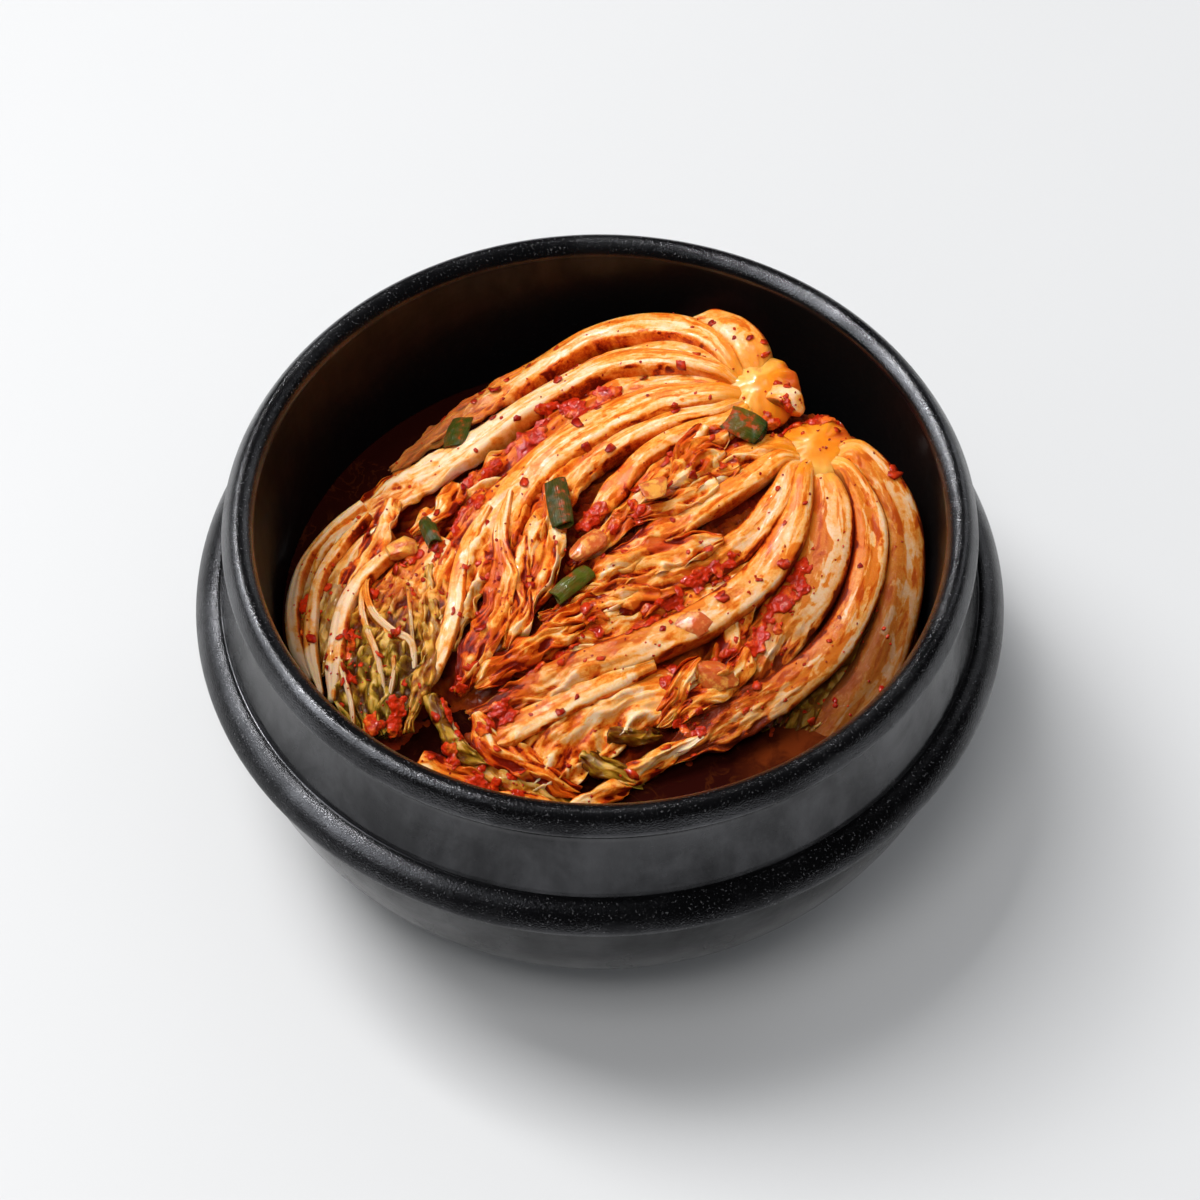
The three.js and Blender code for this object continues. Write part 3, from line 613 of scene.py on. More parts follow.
def leaf_thickness(spec, grid):
    """Half the leaf's thickness at each point: rounded over a rib, even over a blade."""
    half = mixed(spec["depth"] / 2 * np.sqrt(grid.tip), BLADE_HALF, grid.opened ** 0.6)
    rib_profile = (1 - grid.edge ** RIB_ROUNDING) ** (1 / RIB_ROUNDING)
    blade_profile = np.sqrt(1 - grid.edge ** 8)
    return half * mixed(rib_profile, blade_profile, grid.opened)


def leaf_middle(spec, grid):
    """The leaf's middle line, and its forward, sideways and upward directions on the heap."""
    x, y = grid.plan[:, 0], grid.plan[:, 1]
    heading = np.gradient(grid.plan, axis=0)
    heading /= np.linalg.norm(heading, axis=1, keepdims=True)
    normal = heap_normal(x, y)
    forward = np.column_stack([heading, np.zeros(len(x))])
    forward -= normal * (forward * normal).sum(1, keepdims=True)
    forward /= np.linalg.norm(forward, axis=1, keepdims=True)
    droop = (TIP_DROOP + spec.get("sink", 0)) * smoothstep(0.72, 1, grid.t)
    if grid.rooted:
        droop = droop + ROOT_DROOP * (1 - smoothstep(0, 10, grid.s))
    solid_half = mixed(spec["depth"], SOLID_BLADE, grid.opened) / 2 * np.sqrt(grid.tip)
    height = heap_height(x, y) + spec["lift"] - (droop + solid_half)[:, 0]
    return np.column_stack([x, y, height]), forward, np.cross(normal, forward), normal


def leaf_marks(spec, grid, points, crease, keel, seed):
    """What the leaf's material needs to know at each point, three values to a name."""
    t, s, opened = grid.t, grid.s, grid.opened
    ribbed = np.clip(1 - opened + 1.2 * keel, 0, 1)
    # Painted shade: low at a rib's edges and at the bottom of a blade's creases, where the leaf's colour is
    # darkened.
    shade = mixed(1 - 0.8 * smoothstep(0.45, 1, grid.edge), crease, opened * (1 - keel))
    grown = smoothstep(0.05, 0.7, t) if not grid.frill else np.ones_like(t)
    stain = np.clip(paste_share(points[..., 0], points[..., 1]) + 0.7 * spec.get("red", 0), 0, 1)
    near_root = float(grid.rooted) * smoothstep(17, 4, s)
    pale = spec.get("pale", 0) * smoothstep(0.2, 0.6, t + grid.frill)
    return {
        "strand": (grid.lane, s, seed * 7.3 % 50),
        "look": (ribbed, spec.get("green", 0) * grown, pale),
        "relief": (shade, spec.get("brown", 0) * smoothstep(0.6, 0.9, t), near_root),
        "sauce": (stain, spec.get("gold", 0.0), spec.get("wet", 0.0)),
        # Painted shade: how far the leaf's colour is darkened where it lies in shade, growing towards its
        # tip.
        "shadow": (spec.get("dim", 0.0) * smoothstep(0.0, 0.6, t), 0.0, 0.0),
        "face": (grid.across, grid.facing, spec.get("soak", 0.75)),
    }


def leaf_points(spec, seed):
    """The skin of one leaf and what its material needs to know at each point."""
    grid = leaf_grid(spec)
    s, lane, facing, opened = grid.s, grid.lane, grid.facing, grid.opened
    half_width = leaf_half_width(spec, grid, seed)
    folds, crease = leaf_folds(grid, seed)
    keel = leaf_keel(spec, grid)
    lift = leaf_lift(spec, grid, folds, keel, half_width, seed)
    up = lift + np.sign(facing) * leaf_thickness(spec, grid) * (np.abs(facing) > 1e-6)
    drift = 1.4 * grid.edge * ripple(s / 8, lane / 5, seed + 12) + 0.6 * ripple(s / 5, lane / 3, seed + 13)
    wide = grid.across * half_width + opened * drift
    ragged = opened * smoothstep(0.75, 1, grid.t) * 3.0 * ripple(lane / 2.2, 0.7, seed + 14)
    middle, forward, side, normal = leaf_middle(spec, grid)
    points = (middle[:, None] + side[:, None] * wide[..., None] + normal[:, None] * up[..., None]
              + forward[:, None] * ragged[..., None])
    for row in (0, -1):
        points[row] = points[row].mean(0)
    return points, leaf_marks(spec, grid, points, crease, keel, seed)


# Materials.


class Field:
    """A value, colour or vector that varies over a surface. Sums and products of it add nodes."""

    def __init__(self, tree, socket):
        self.tree = tree
        self.socket = socket

    def __add__(self, other):
        return calculated("ADD", self, other)

    def __sub__(self, other):
        return calculated("SUBTRACT", self, other)

    def __mul__(self, other):
        return calculated("MULTIPLY", self, other)


def fill(tree, socket, value):
    """Links a socket to a field, or sets it to a plain value or colour."""
    if isinstance(value, Field):
        tree.links.new(value.socket, socket)
    elif socket.type == "RGBA":
        socket.default_value = (*value, 1.0)
    else:
        socket.default_value = value


def node(tree, kind, inputs, output=0, **options):
    """Adds a node, fills its inputs, and gives the field that leaves one of its outputs."""
    made = tree.nodes.new(kind)
    for name, value in options.items():
        setattr(made, name, value)
    for name, value in inputs.items():
        fill(tree, made.inputs[name], value)
    return Field(tree, made.outputs[output])


def calculated(operation, a, b):
    return node(a.tree, "ShaderNodeMath", {0: a, 1: b}, operation=operation)


def ramp(value, low, high, to_low=0.0, to_high=1.0):
    inputs = {"Value": value, "From Min": low, "From Max": high, "To Min": to_low, "To Max": to_high}
    return node(value.tree, "ShaderNodeMapRange", inputs, "Result", interpolation_type="SMOOTHSTEP")


def either(share, a, b):
    return node(share.tree, "ShaderNodeMix", {0: share, 2: a, 3: b}, data_type="FLOAT")


def blended(share, a, b):
    return node(share.tree, "ShaderNodeMix", {0: share, 6: a, 7: b}, 2, data_type="RGBA")


def washed(body, *washes):
    """A colour with washes laid over it, each a share and a colour."""
    for share, tone in washes:
        body = blended(share, body, tone)
    return body


def toned(amount, stops):
    """A colour that passes through the stops as the amount grows."""
    tone = node(amount.tree, "ShaderNodeValToRGB", {"Fac": amount}, "Color")
    elements = tone.socket.node.color_ramp.elements
    while len(elements) < len(stops):
        elements.new(0.5)
    for element, (place, stop) in zip(elements, stops):
        element.position = place
        element.color = (*stop, 1.0)
    return tone


def noise(place, scale, detail=3.0, roughness=0.55, distortion=0.0):
    inputs = {"Vector": place, "Scale": scale, "Detail": detail, "Roughness": roughness,
              "Distortion": distortion}
    return node(place.tree, "ShaderNodeTexNoise", inputs, "Fac")


def cells(place, scale, feature="F1"):
    """The distance to the nearest of many scattered points, or to the edge between two."""
    inputs = {"Vector": place, "Scale": scale, "Randomness": 1.0}
    return node(place.tree, "ShaderNodeTexVoronoi", inputs, "Distance", feature=feature)


def stretched(place, scale):
    """A pattern's coordinates, stretched by a factor along each axis."""
    return node(place.tree, "ShaderNodeMapping", {"Vector": place, "Scale": scale})


def shaken(place, wobble):
    """The place moved about by a wobble from 0 to 1, so that cells drawn on it aren't too even."""
    moved = stretched(wobble, (3.0, 3.0, 0.0))
    return node(place.tree, "ShaderNodeVectorMath", {0: place, 1: moved}, operation="ADD")


def bumped(height, strength, distance, under=None):
    inputs = {"Height": height, "Strength": strength, "Distance": distance}
    if under:
        inputs["Normal"] = under
    return node(height.tree, "ShaderNodeBump", inputs)


def attribute(tree, name, output="Fac"):
    return node(tree, "ShaderNodeAttribute", {}, output, attribute_name=name)


def parts_of(vector):
    """The three values of a vector."""
    split = node(vector.tree, "ShaderNodeSeparateXYZ", {"Vector": vector}).socket.node
    return [Field(vector.tree, output) for output in split.outputs]


def marks_of(tree, name):
    """The three values that a point attribute holds."""
    return parts_of(attribute(tree, name, "Vector"))


def material(name):
    """A new material, and the place of each point on its object."""
    finish = bpy.data.materials.new(name)
    finish.use_nodes = True
    return finish, node(finish.node_tree, "ShaderNodeTexCoord", {}, "Object")


def dressed(finish, **sockets):
    """The material with its shader's sockets filled by name, _ for a space."""
    shader = finish.node_tree.nodes["Principled BSDF"]
    for name, value in sockets.items():
        fill(finish.node_tree, shader.inputs[name.replace("_", " ")], value)
    return finish


def leaf_cues(place):
    """What each point of a leaf knows of itself, and the patterns that run along the leaf."""
    tree = place.tree
    strand = attribute(tree, "strand", "Vector")

    def grain(across, along, *settings):
        return noise(stretched(strand, (across, along, 1.0)), *settings)

    cues = SimpleNamespace(place=place, strand=strand)
    cues.rib, cues.green, cues.pale = marks_of(tree, "look")
    # The first value is low at a rib's edges and at the bottom of a blade's creases, where painted shade is
    # laid on.
    cues.crease, cues.brown, cues.root = marks_of(tree, "relief")
    cues.sauce, cues.gold, cues.wet = marks_of(tree, "sauce")
    cues.side, _, cues.soak = marks_of(tree, "face")
    # Painted shade for leaves that lie in shade.
    cues.dim, _, _ = marks_of(tree, "shadow")
    cues.fibre = grain(0.8, 0.05, 1.2, 3.0)
    cues.cloud = grain(0.2, 0.05, 1.0, 2.0, 0.5, 0.5)
    cues.streak = grain(0.3, 0.12, 1.0, 3.0, 0.5, 0.8)
    cues.blot = grain(0.30, 0.09, 1.0, 4.0, 0.55, 0.5)
    cues.wrinkle = grain(0.8, 0.2, 1.1, 5.0, 0.6)
    cues.patch = noise(place, 95.0, 2.0, 0.5)
    ragged = cues.side + ramp(cues.blot, 0.25, 0.75, 1.2, -1.2)
    cues.stained = cues.soak * ramp(ragged, 0.52, -0.12)
    # Painted highlight on the crests of the folds.
    cues.crest = ramp(cues.crease, 0.6, 1.0) * ramp(cues.rib, 0.9, 0.2)
    # Painted shade at the bottom of the folds and at a rib's edges, with streaks of stain.
    cues.deep = ramp(cues.crease, 0.68, 0.02) + ramp(cues.streak, 0.35, 0.65, -0.2, 0.3)
    cues.pulp = ramp(cues.sauce + ramp(cues.patch, 0.3, 0.7, -0.45, 0.25), 0.25, 0.8)
    # Painted shade in the troughs of the fine wrinkles.
    cues.pinched = ramp(cues.wrinkle, 0.47, 0.36) * ramp(cues.rib, 0.9, 0.1)
    return cues


def chilli_soak_and_shade(cues):
    """How far the chilli has soaked in, least on a clean rib, with painted shade that darkens the bottom of
    a fold, a rib's edges and the wrinkle troughs, and painted highlight that lightens the crests.
    """
    clean = ramp(cues.cloud, 0.36, 0.68, 0.02, 0.30) + ramp(cues.fibre, 0.4, 0.75, 0.04, -0.06)
    thin = ramp(cues.patch, 0.36, 0.64, 0.38, 0.64)
    dusted = ramp(noise(cues.place, 800.0, 4.0, 0.7), 0.32, 0.68, -0.09, 0.10)
    streaked = ramp(cues.streak, 0.52, 0.68) * ramp(cues.rib, 0.3, 1.0, 0.24, 0.14)
    soaked = either(cues.rib, thin, clean) + dusted
    soaked = soaked + cues.stained * 0.40 + cues.pulp * 0.45 + cues.root * 0.22 + streaked
    # Painted highlight: the crests are lightened.
    soaked = soaked + cues.crest * -0.38 + cues.pale * -0.30 + cues.gold * -0.12
    for scale, size, share in ((150.0, 0.36, 0.44), (330.0, 0.42, 0.5)):
        reach = ramp(noise(cues.place, scale * 0.45, 2.0), share, 0.8, 0.0, size)
        speck = reach - cells(cues.place, scale)
        soaked = soaked + ramp(speck, -0.08, 0.06, 0.0, 0.30) + ramp(speck, 0.13, 0.18, 0.0, 0.4)
    soaked = calculated("MINIMUM", soaked, ramp(cues.rib, 0.2, 1.0, 0.74, 0.60))
    # Painted shade: the bottom of each fold and a rib's edges are darkened, more on wet leaves, and the
    # wrinkle troughs a little.
    crease_shade_weight = ramp(cues.rib, 0.2, 1.0, 0.38, 0.54) + cues.wet * 0.28
    return soaked + ramp(cues.deep, 0.0, 0.9) * crease_shade_weight + cues.pinched * 0.14


def olive_leaf(cues, pocket, green):
    """The outer leaf's colour, from yellow on its crests to red-brown in its folds: painted highlight on
    the crests and blister tops, painted shade in the folds, wrinkles and along the veins, over a tone that
    varies at random and with chilli.
    """
    tone_and_shade = ramp(cues.patch, 0.38, 0.62, 0.42, 0.18) + ramp(cues.cloud, 0.45, 0.7, 0.0, 0.22)
    tone_and_shade = tone_and_shade + cues.crest * -0.25 + ramp(cues.deep, 0.0, 1.0, 0.0, 0.40)
    # Painted shade along the veins and painted highlight on the blister tops.
    tone_and_shade = tone_and_shade + cues.pinched * 0.2 + cues.pulp * 0.2 + ramp(pocket, 0.0, 1.0, 0.30, -0.14)
    return toned(tone_and_shade, [
        (0.0, (0.78, 0.50, 0.16)), (0.28, (0.56, 0.32, 0.045)), (0.5, green),
        (0.72, (0.13, 0.055, 0.003)), (1.0, (0.05, 0.010, 0.001)),
    ])


def cabbage_colour(cues, soaked, pocket):
    settings = bpy.context.scene.kimchi_cabbage
    # From clean rib through chilli red to the dark stops that painted shade reaches at the bottom of the
    # folds.
    body = toned(soaked, [
        (0.0, (0.98, 0.68, 0.43)), (0.17, settings.rib), (0.34, (0.96, 0.43, 0.11)),
        (0.50, settings.blade), (0.68, settings.stained), (0.86, (0.50, 0.040, 0.002)),
        (1.0, settings.crease),
    ])
    olive = olive_leaf(cues, pocket, settings.green)
    glow = blended(ramp(cues.patch, 0.40, 0.62), settings.core, (1.0, 0.43, 0.07))
    return washed(
        body,
        (cues.green * ramp(cues.cloud, 0.2, 0.45, 0.6, 1.0), olive),
        (cues.brown * 0.8, (0.42, 0.15, 0.04)),
        (cues.root * ramp(cues.cloud, 0.3, 0.6, 0.25, 0.9), glow),
        # painted shade over leaves that lie in shade
        (cues.dim * 0.9, (0.14, 0.042, 0.008)),
    )


def cabbage_material():
    finish, place = material("wet_cabbage")
    cues = leaf_cues(place)
    soaked = chilli_soak_and_shade(cues)
    # The small swellings between a green leaf's veins, 0 at a vein.
    veined = stretched(shaken(cues.strand, cues.blot), (1.0, 0.62, 1.0))
    pocket = ramp(cells(veined, 0.30, "DISTANCE_TO_EDGE"), 0.02, 0.26)

    normal = bumped(cues.fibre, 0.12, 0.0006)
    normal = bumped(cues.wrinkle, ramp(cues.rib, 0.2, 1.0, 0.7, 0.2), 0.0007, normal)
    normal = bumped(pocket, cues.green * 0.8, 0.0007, normal)
    pulpy = ramp(cues.stained + cues.wet, 0.0, 1.6, 0.06, 0.42)
    normal = bumped(noise(place, 260.0, 4.0, 0.65), pulpy, 0.0012, normal)
    beaded = ramp(cues.rib, 0.3, 1.0, 0.5, 0.22) + cues.wet * 0.5
    film = bumped(noise(place, 520.0, 3.0, 0.6), beaded, 0.0008, normal)
    # Less coat where the colour carries painted shade.
    coat = ramp(soaked, 0.5, 0.95, 0.75, 0.35) * ramp(cues.dim, 0.0, 1.0, 1.0, 0.3)
    return dressed(finish, Base_Color=cabbage_colour(cues, soaked, pocket), Roughness=0.4, Normal=normal,
                   Subsurface_Weight=0.5, Subsurface_Scale=0.0022, Subsurface_Radius=(1.0, 0.36, 0.10),
                   IOR=1.33, Specular_IOR_Level=0.08, Coat_Weight=coat, Coat_Roughness=0.05,
                   Coat_IOR=1.42, Coat_Normal=film)


def mass_material():
    finish, place = material("packed_cabbage")
    crease, paste, _ = marks_of(place.tree, "relief")
    patch = noise(place, 120.0, 4.0, 0.6)
    # Painted shade: the inner leaves' chilli red is kept dark for the gaps between the ribs where they
    # show, and darkened further in their creases.
    body = washed(
        blended(ramp(patch, 0.35, 0.65), (0.26, 0.020, 0.002), (0.50, 0.085, 0.006)),
        (ramp(crease, 0.55, 0.15), (0.16, 0.012, 0.004)),
        (paste * 0.85, (0.34, 0.022, 0.006)),
    )
    bump = bumped(noise(place, 500.0, 4.0, 0.6), 0.6, 0.0008)
    return dressed(finish, Base_Color=body, Roughness=0.3, Normal=bump, Subsurface_Weight=0.15,
                   Subsurface_Scale=0.003, Subsurface_Radius=(1.0, 0.3, 0.1), Specular_IOR_Level=0.15,
                   Coat_Weight=0.5, Coat_Roughness=0.06, Coat_Normal=bump)


def core_material():
    finish, place = material("cabbage_root")
    cloud = noise(place, 75.0, 3.0, 0.5, 0.4)
    spread = attribute(place.tree, "far") + ramp(cloud, 0.3, 0.7, -0.35, 0.35)
    body = washed(
        blended(ramp(spread, -0.3, 0.25), (1.0, 0.48, 0.10), (0.96, 0.27, 0.010)),
        (ramp(noise(place, 130.0, 4.0, 0.6), 0.58, 0.72, 0.0, 0.8), (0.62, 0.07, 0.01)),
        (ramp(spread, 0.25, 0.75, 0.0, 0.9), (0.70, 0.09, 0.008)),
    )
    bump = bumped(noise(place, 300.0, 4.0), 0.35, 0.0006)
    return dressed(finish, Base_Color=body, Roughness=0.34, Normal=bump, Subsurface_Weight=0.6,
                   Subsurface_Scale=0.005, Subsurface_Radius=(1.0, 0.45, 0.12), Specular_IOR_Level=0.2,
                   Coat_Weight=0.3, Coat_Roughness=0.08, Coat_Normal=bump)


def paste_material(name, base, pulp):
    finish, place = material(name)
    pale = attribute(place.tree, "tone") + ramp(noise(place, 170.0, 4.0, 0.6), 0.42, 0.68)
    body = washed(
        base,
        (ramp(pale, 0.3, 1.0), pulp),
        (ramp(noise(place, 400.0, 3.0), 0.4, 0.75, 0.0, 0.6), (0.26, 0.008, 0.002)),
    )
    bump = bumped(noise(place, 900.0, 4.0, 0.65), 0.7, 0.0006)
    film = bumped(noise(place, 500.0, 3.0, 0.6), 0.6, 0.001)
    return dressed(finish, Base_Color=body, Roughness=0.34, Normal=bump, Subsurface_Weight=0.2,
                   Subsurface_Scale=0.0012, Subsurface_Radius=(1.0, 0.2, 0.08), IOR=1.36,
                   Specular_IOR_Level=0.1, Coat_Weight=0.85, Coat_Roughness=0.035, Coat_Normal=film)


def brine_material():
    settings = bpy.context.scene.kimchi_brine
    finish, place = material("chilli_brine")
    shallow, _, _ = marks_of(place.tree, "depth")
    cloud = noise(place, 60.0, 4.0, 0.6, 0.5)
    leafy = noise(place, 130.0, 4.0, 0.6, 0.6)
    # Painted sheen: thin winding lighter lines drawn on the brine's surface from this noise.
    sheen_noise = noise(place, 85.0, 3.0, 0.55, 1.6)
    painted_sheen_lines = ramp(sheen_noise, 0.47, 0.50) * ramp(sheen_noise, 0.55, 0.51)
    body = washed(
        settings.deep,
        (shallow * ramp(leafy, 0.35, 0.6, 0.35, 1.0), settings.shallow),
        (painted_sheen_lines * ramp(cloud, 0.45, 0.6, 0.0, 0.35), (0.10, 0.022, 0.004)),
    )
    bump = bumped(noise(place, 70.0, 2.0), 0.25, 0.001)
    return dressed(finish, Base_Color=body, Roughness=0.05, Normal=bump, IOR=1.34)


def glaze_material():
    settings = bpy.context.scene.kimchi_bowl
    finish, place = material("black_glaze")
    inside, grained, level = (attribute(place.tree, name) for name in ("inside", "grained", "shine"))
    _, _, height = parts_of(place)
    fine = noise(place, 1400.0, 3.0, 0.6)
    broad = noise(place, 45.0, 4.0, 0.55)
    body = washed(
        settings.glaze,
        (ramp(fine, 0.60, 0.78, 0.0, 0.5), settings.speck),
        (grained * ramp(fine, 0.60, 0.72, 0.0, 0.55), (0.17, 0.17, 0.18)),
        # Painted sheen: inside, the glaze turns a little warmer and lighter towards the rim.
        (inside * ramp(height, 0.07, 0.106), (0.006, 0.005, 0.0045)),
    )
    rough = either(inside, ramp(broad, 0.3, 0.7, 0.15, 0.30), 0.3)
    grain = bumped(noise(place, 2300.0, 2.0, 0.5), ramp(grained, 0.0, 1.0, 0.06, 0.6), 0.00025)
    pits = bumped(noise(place, 260.0, 4.0, 0.6), ramp(grained, 0.0, 1.0, 0.08, 0.03), 0.0008, grain)
    smudge = noise(place, 30.0, 5.0, 0.6, 0.6)
    streaky = noise(stretched(place, (1.0, 1.0, 0.25)), 95.0, 4.0, 0.65)
    uneven = ramp(smudge, 0.35, 0.65, 0.62, 1.30) * ramp(streaky, 0.3, 0.7, 0.80, 1.18)
    return dressed(finish, Base_Color=body, Roughness=rough, Normal=pits, IOR=1.7,
                   Specular_IOR_Level=level * uneven, Specular_Tint=(0.93, 0.94, 1.0))


def scallion_material():
    finish, place = material("scallion_leaf")
    light, olive, _ = marks_of(place.tree, "look")
    strand = attribute(place.tree, "strand", "Vector")
    veins = noise(stretched(strand, (2.6, 0.12, 1.0)), 1.0, 3.0)
    film = noise(place, 330.0, 4.0, 0.6)
    soiled = film + olive * 0.14
    body = washed(
        bpy.context.scene.kimchi_topping.scallion,
        (ramp(veins, 0.5, 0.75), (0.035, 0.085, 0.012)),
        (light, (0.085, 0.105, 0.006)),
        (olive * 0.9, (0.12, 0.09, 0.006)),
        (ramp(soiled, 0.44, 0.60, 0.0, 0.6), (0.13, 0.055, 0.006)),
        (ramp(soiled, 0.6, 0.70, 0.0, 0.85), (0.42, 0.05, 0.006)),
    )
    bump = bumped(film, 0.4, 0.0008, bumped(veins, 0.7, 0.0006))
    return dressed(finish, Base_Color=body, Roughness=0.36, Normal=bump, Specular_IOR_Level=0.08,
                   Coat_Weight=0.18, Coat_Roughness=0.05, Coat_Normal=bump)


def radish_material():
    finish, place = material("soaked_radish")
    golden, pink, soaked = marks_of(place.tree, "look")
    red = noise(place, 300.0, 4.0, 0.6) + soaked * 0.12
    body = washed(
        bpy.context.scene.kimchi_topping.radish,
        (ramp(noise(place, 160.0, 3.0, 0.5, 0.4), 0.36, 0.64), (0.86, 0.36, 0.08)),
        (golden * 0.8, (0.86, 0.40, 0.05)),
        (pink * 0.85, (0.80, 0.36, 0.16)),
        (ramp(red, 0.46, 0.64, 0.0, 0.9), (0.60, 0.085, 0.01)),
    )
    bump = bumped(noise(place, 450.0, 4.0, 0.6), 0.6, 0.0008)
    return dressed(finish, Base_Color=body, Roughness=0.32, Normal=bump, Subsurface_Weight=0.5,
                   Subsurface_Scale=0.003, Subsurface_Radius=(1.0, 0.4, 0.15), Coat_Weight=0.6,
                   Coat_Roughness=0.05, Coat_Normal=bump)


def shared(name, make):
    """The material of that name, made once."""
    return bpy.data.materials.get(name) or make()


# The bowl.


def arc(centre, radii, start, stop, steps):
    turns = np.radians(np.linspace(start, stop, steps))
    return [(centre[0] + radii[0] * math.cos(a), centre[1] + radii[1] * math.sin(a)) for a in turns]


def bezier(points, steps):
    a, b, c, d = (np.array(p, float) for p in points)
    t = np.linspace(0, 1, steps)[:, None]
    curve = a * (1 - t) ** 3 + 3 * b * t * (1 - t) ** 2 + 3 * c * t ** 2 * (1 - t) + d * t ** 3
    return [tuple(p) for p in curve]


def bowl_profile():
    """Radius and height, from the edge of the foot up the outside, over the rim and down the inside."""
    settings = bpy.context.scene.kimchi_bowl
    foot = settings.foot_radius / MM
    rim = settings.rim_radius / MM
    ledge = settings.ledge_radius / MM
    body = bezier([(foot, 0), (92, 1.5), (113, 29), (113, 68)], 26)
    lip = [(ledge - 4.5, 68.2), (ledge - 1.6, 68.9), (ledge - 0.5, 69.6), (ledge - 0.05, 70.3)]
    edge = bezier([(ledge - 0.2, 71.2), (ledge - 1.8, 74.6), (ledge - 4.4, 77.2), (ledge - 7.6, 77.0)], 14)
    shoulder = [(110.5, 76.8), (110.1, 77.3)]
    collar = bezier([(109.9, 78.4), (107.6, 84), (106.0, 91), (104.9, 98.6)], 14)
    lip = lip + edge + shoulder + collar
    under = [(105.6, 101.4), (107.0, 102.6), (107.7, 103.4), (rim - 0.05, 104.0), (rim - 0.15, 104.6)]
    crest = bezier([(rim - 0.5, 105.3), (rim - 1.7, 107.7), (rim - 2.9, RIM_HEIGHT),
                    (rim - 4.9, RIM_HEIGHT)], 12)
    top = under + crest + arc((rim - 4.9, RIM_HEIGHT - 5), (4.5, 5), 100, 180, 9)
    wall = [(rim - 9.6, 101), (97.2, 86), (94, 60), (90.5, 44), (82, 27), (66, 15.5), (44, 11.6)]
    inner, _ = route(wall, 34)
    return body + lip + top + [tuple(p) for p in inner] + [(20, 11.0)]


def turned_on_wheel(profile, segments):
    """A disc on the foot, drawn up by extruding and resizing it along the profile."""
    deselect()
    radius, height = profile[0]
    bpy.ops.mesh.primitive_circle_add(
        vertices=segments, radius=radius * MM, location=(0, 0, height * MM), fill_type="TRIFAN"
    )
    piece = bpy.context.object
    bpy.ops.object.mode_set(mode="EDIT")
    for (r0, z0), (r1, z1) in zip(profile, profile[1:]):
        bpy.ops.mesh.extrude_region_move(TRANSFORM_OT_translate={"value": (0, 0, (z1 - z0) * MM)})
        bpy.ops.transform.resize(value=(r1 / r0, r1 / r0, 1), center_override=(0, 0, z1 * MM))
    bpy.ops.mesh.select_all(action="SELECT")
    bpy.ops.mesh.normals_make_consistent(inside=False)
    bpy.ops.object.mode_set(mode="OBJECT")
    bpy.ops.object.transform_apply(location=True, rotation=False, scale=False)
    bpy.ops.object.shade_smooth()
    return piece


class KIMCHI_OT_bowl(bpy.types.Operator):
    """Turns the black earthenware bowl with its ledge and rolled rim"""

    bl_idname = "kimchi.bowl"
    bl_label = "Bowl"

    def execute(self, context):
        piece = turned_on_wheel(bowl_profile(), context.scene.kimchi_bowl.segments)
        x, y, height = (places_of(piece) / MM).T
        radius = np.hypot(x, y)
        mouth = 98.8 - 0.125 * (RIM_HEIGHT - 9 - height)
        inside = (radius < mouth + 2.5) & (height > 10.5) & (height < RIM_HEIGHT - 3.6)
        on_rim = (height > 103.5) & (radius > 99.5)
        above_ledge = height > 69.5
        on_ledge = above_ledge & (radius > 110.6)
        shine = np.select([inside, on_rim, above_ledge], [INSIDE_SHINE, RIM_SHINE, COLLAR_SHINE],
                          BODY_SHINE)
        marked(piece, inside=inside, grained=on_ledge + 0.8 * on_rim, shine=shine)
        finished(piece, "bowl_glazed", shared("black_glaze", glaze_material), ["bowl"])
        return {"FINISHED"}


# The brine.


def nearness(x, y, specs, reach):
    """1 over the middle of the given leaves, falling to 0 at reach millimetres beyond them."""
    best = np.full(x.shape, 1e9)
    for spec in specs:
        for px, py in route(spec["path"], 40)[0]:
            best = np.minimum(best, np.hypot(x - px, y - py) - spec["rib"] / 2)
    return 1 - np.clip(best / reach, 0, 1)


class KIMCHI_OT_brine(bpy.types.Operator):
    """Pours the chilli brine up to its level, creeping up a little at the wall"""

    bl_idname = "kimchi.brine"
    bl_label = "Brine"

    def execute(self, context):
        rings, spokes = 90, 240
        share = np.linspace(0, 1, rings)[:, None] ** 0.7
        turn = np.linspace(0, 2 * math.pi, spokes + 1)
        radius = share * BRINE_WALL
        circle = np.column_stack([np.cos(turn), np.sin(turn)])
        x, y = radius * circle[:, 0], radius * circle[:, 1]
        creep = BRINE_CREEP * np.exp(-(BRINE_WALL - radius) / 1.6)
        swell = 0.12 * ripple(x / 22, y / 22, 3) * (1 - share ** 6)
        top = np.stack([x, y, BRINE_LEVEL + creep + swell], -1)
        under = rings_below(circle, [(93.0, 52), (89.8, 42), (82, 27.7), (66, 16.2), (0.0, 14.0)])
        shallow = nearness(x, y, SUNKEN_LEAF, 6.5) * smoothstep(0, 30, x)
        depth = np.concatenate([shallow, np.zeros(under.shape[:2])])
        piece = woven(np.concatenate([top, under]), {"depth": (depth, 0.0, 0.0)})
        finished(piece, "brine_surface", shared("chilli_brine", brine_material), ["brine"])
        return {"FINISHED"}


# The cabbage.


def side_of_seam(x, y):
    """Distance to the seam, positive on the right quarter's side."""
    line, _ = route(SEAM, 90)
    gap = np.hypot(x[..., None] - line[:, 0], y[..., None] - line[:, 1])
    nearest = gap.argmin(-1)
    heading = np.gradient(line, axis=0)[nearest]
    offset = np.stack([x - line[nearest, 0], y - line[nearest, 1]], -1)
    cross = heading[..., 0] * offset[..., 1] - heading[..., 1] * offset[..., 0]
    return np.where(cross > 0, 1, -1) * gap.min(-1)


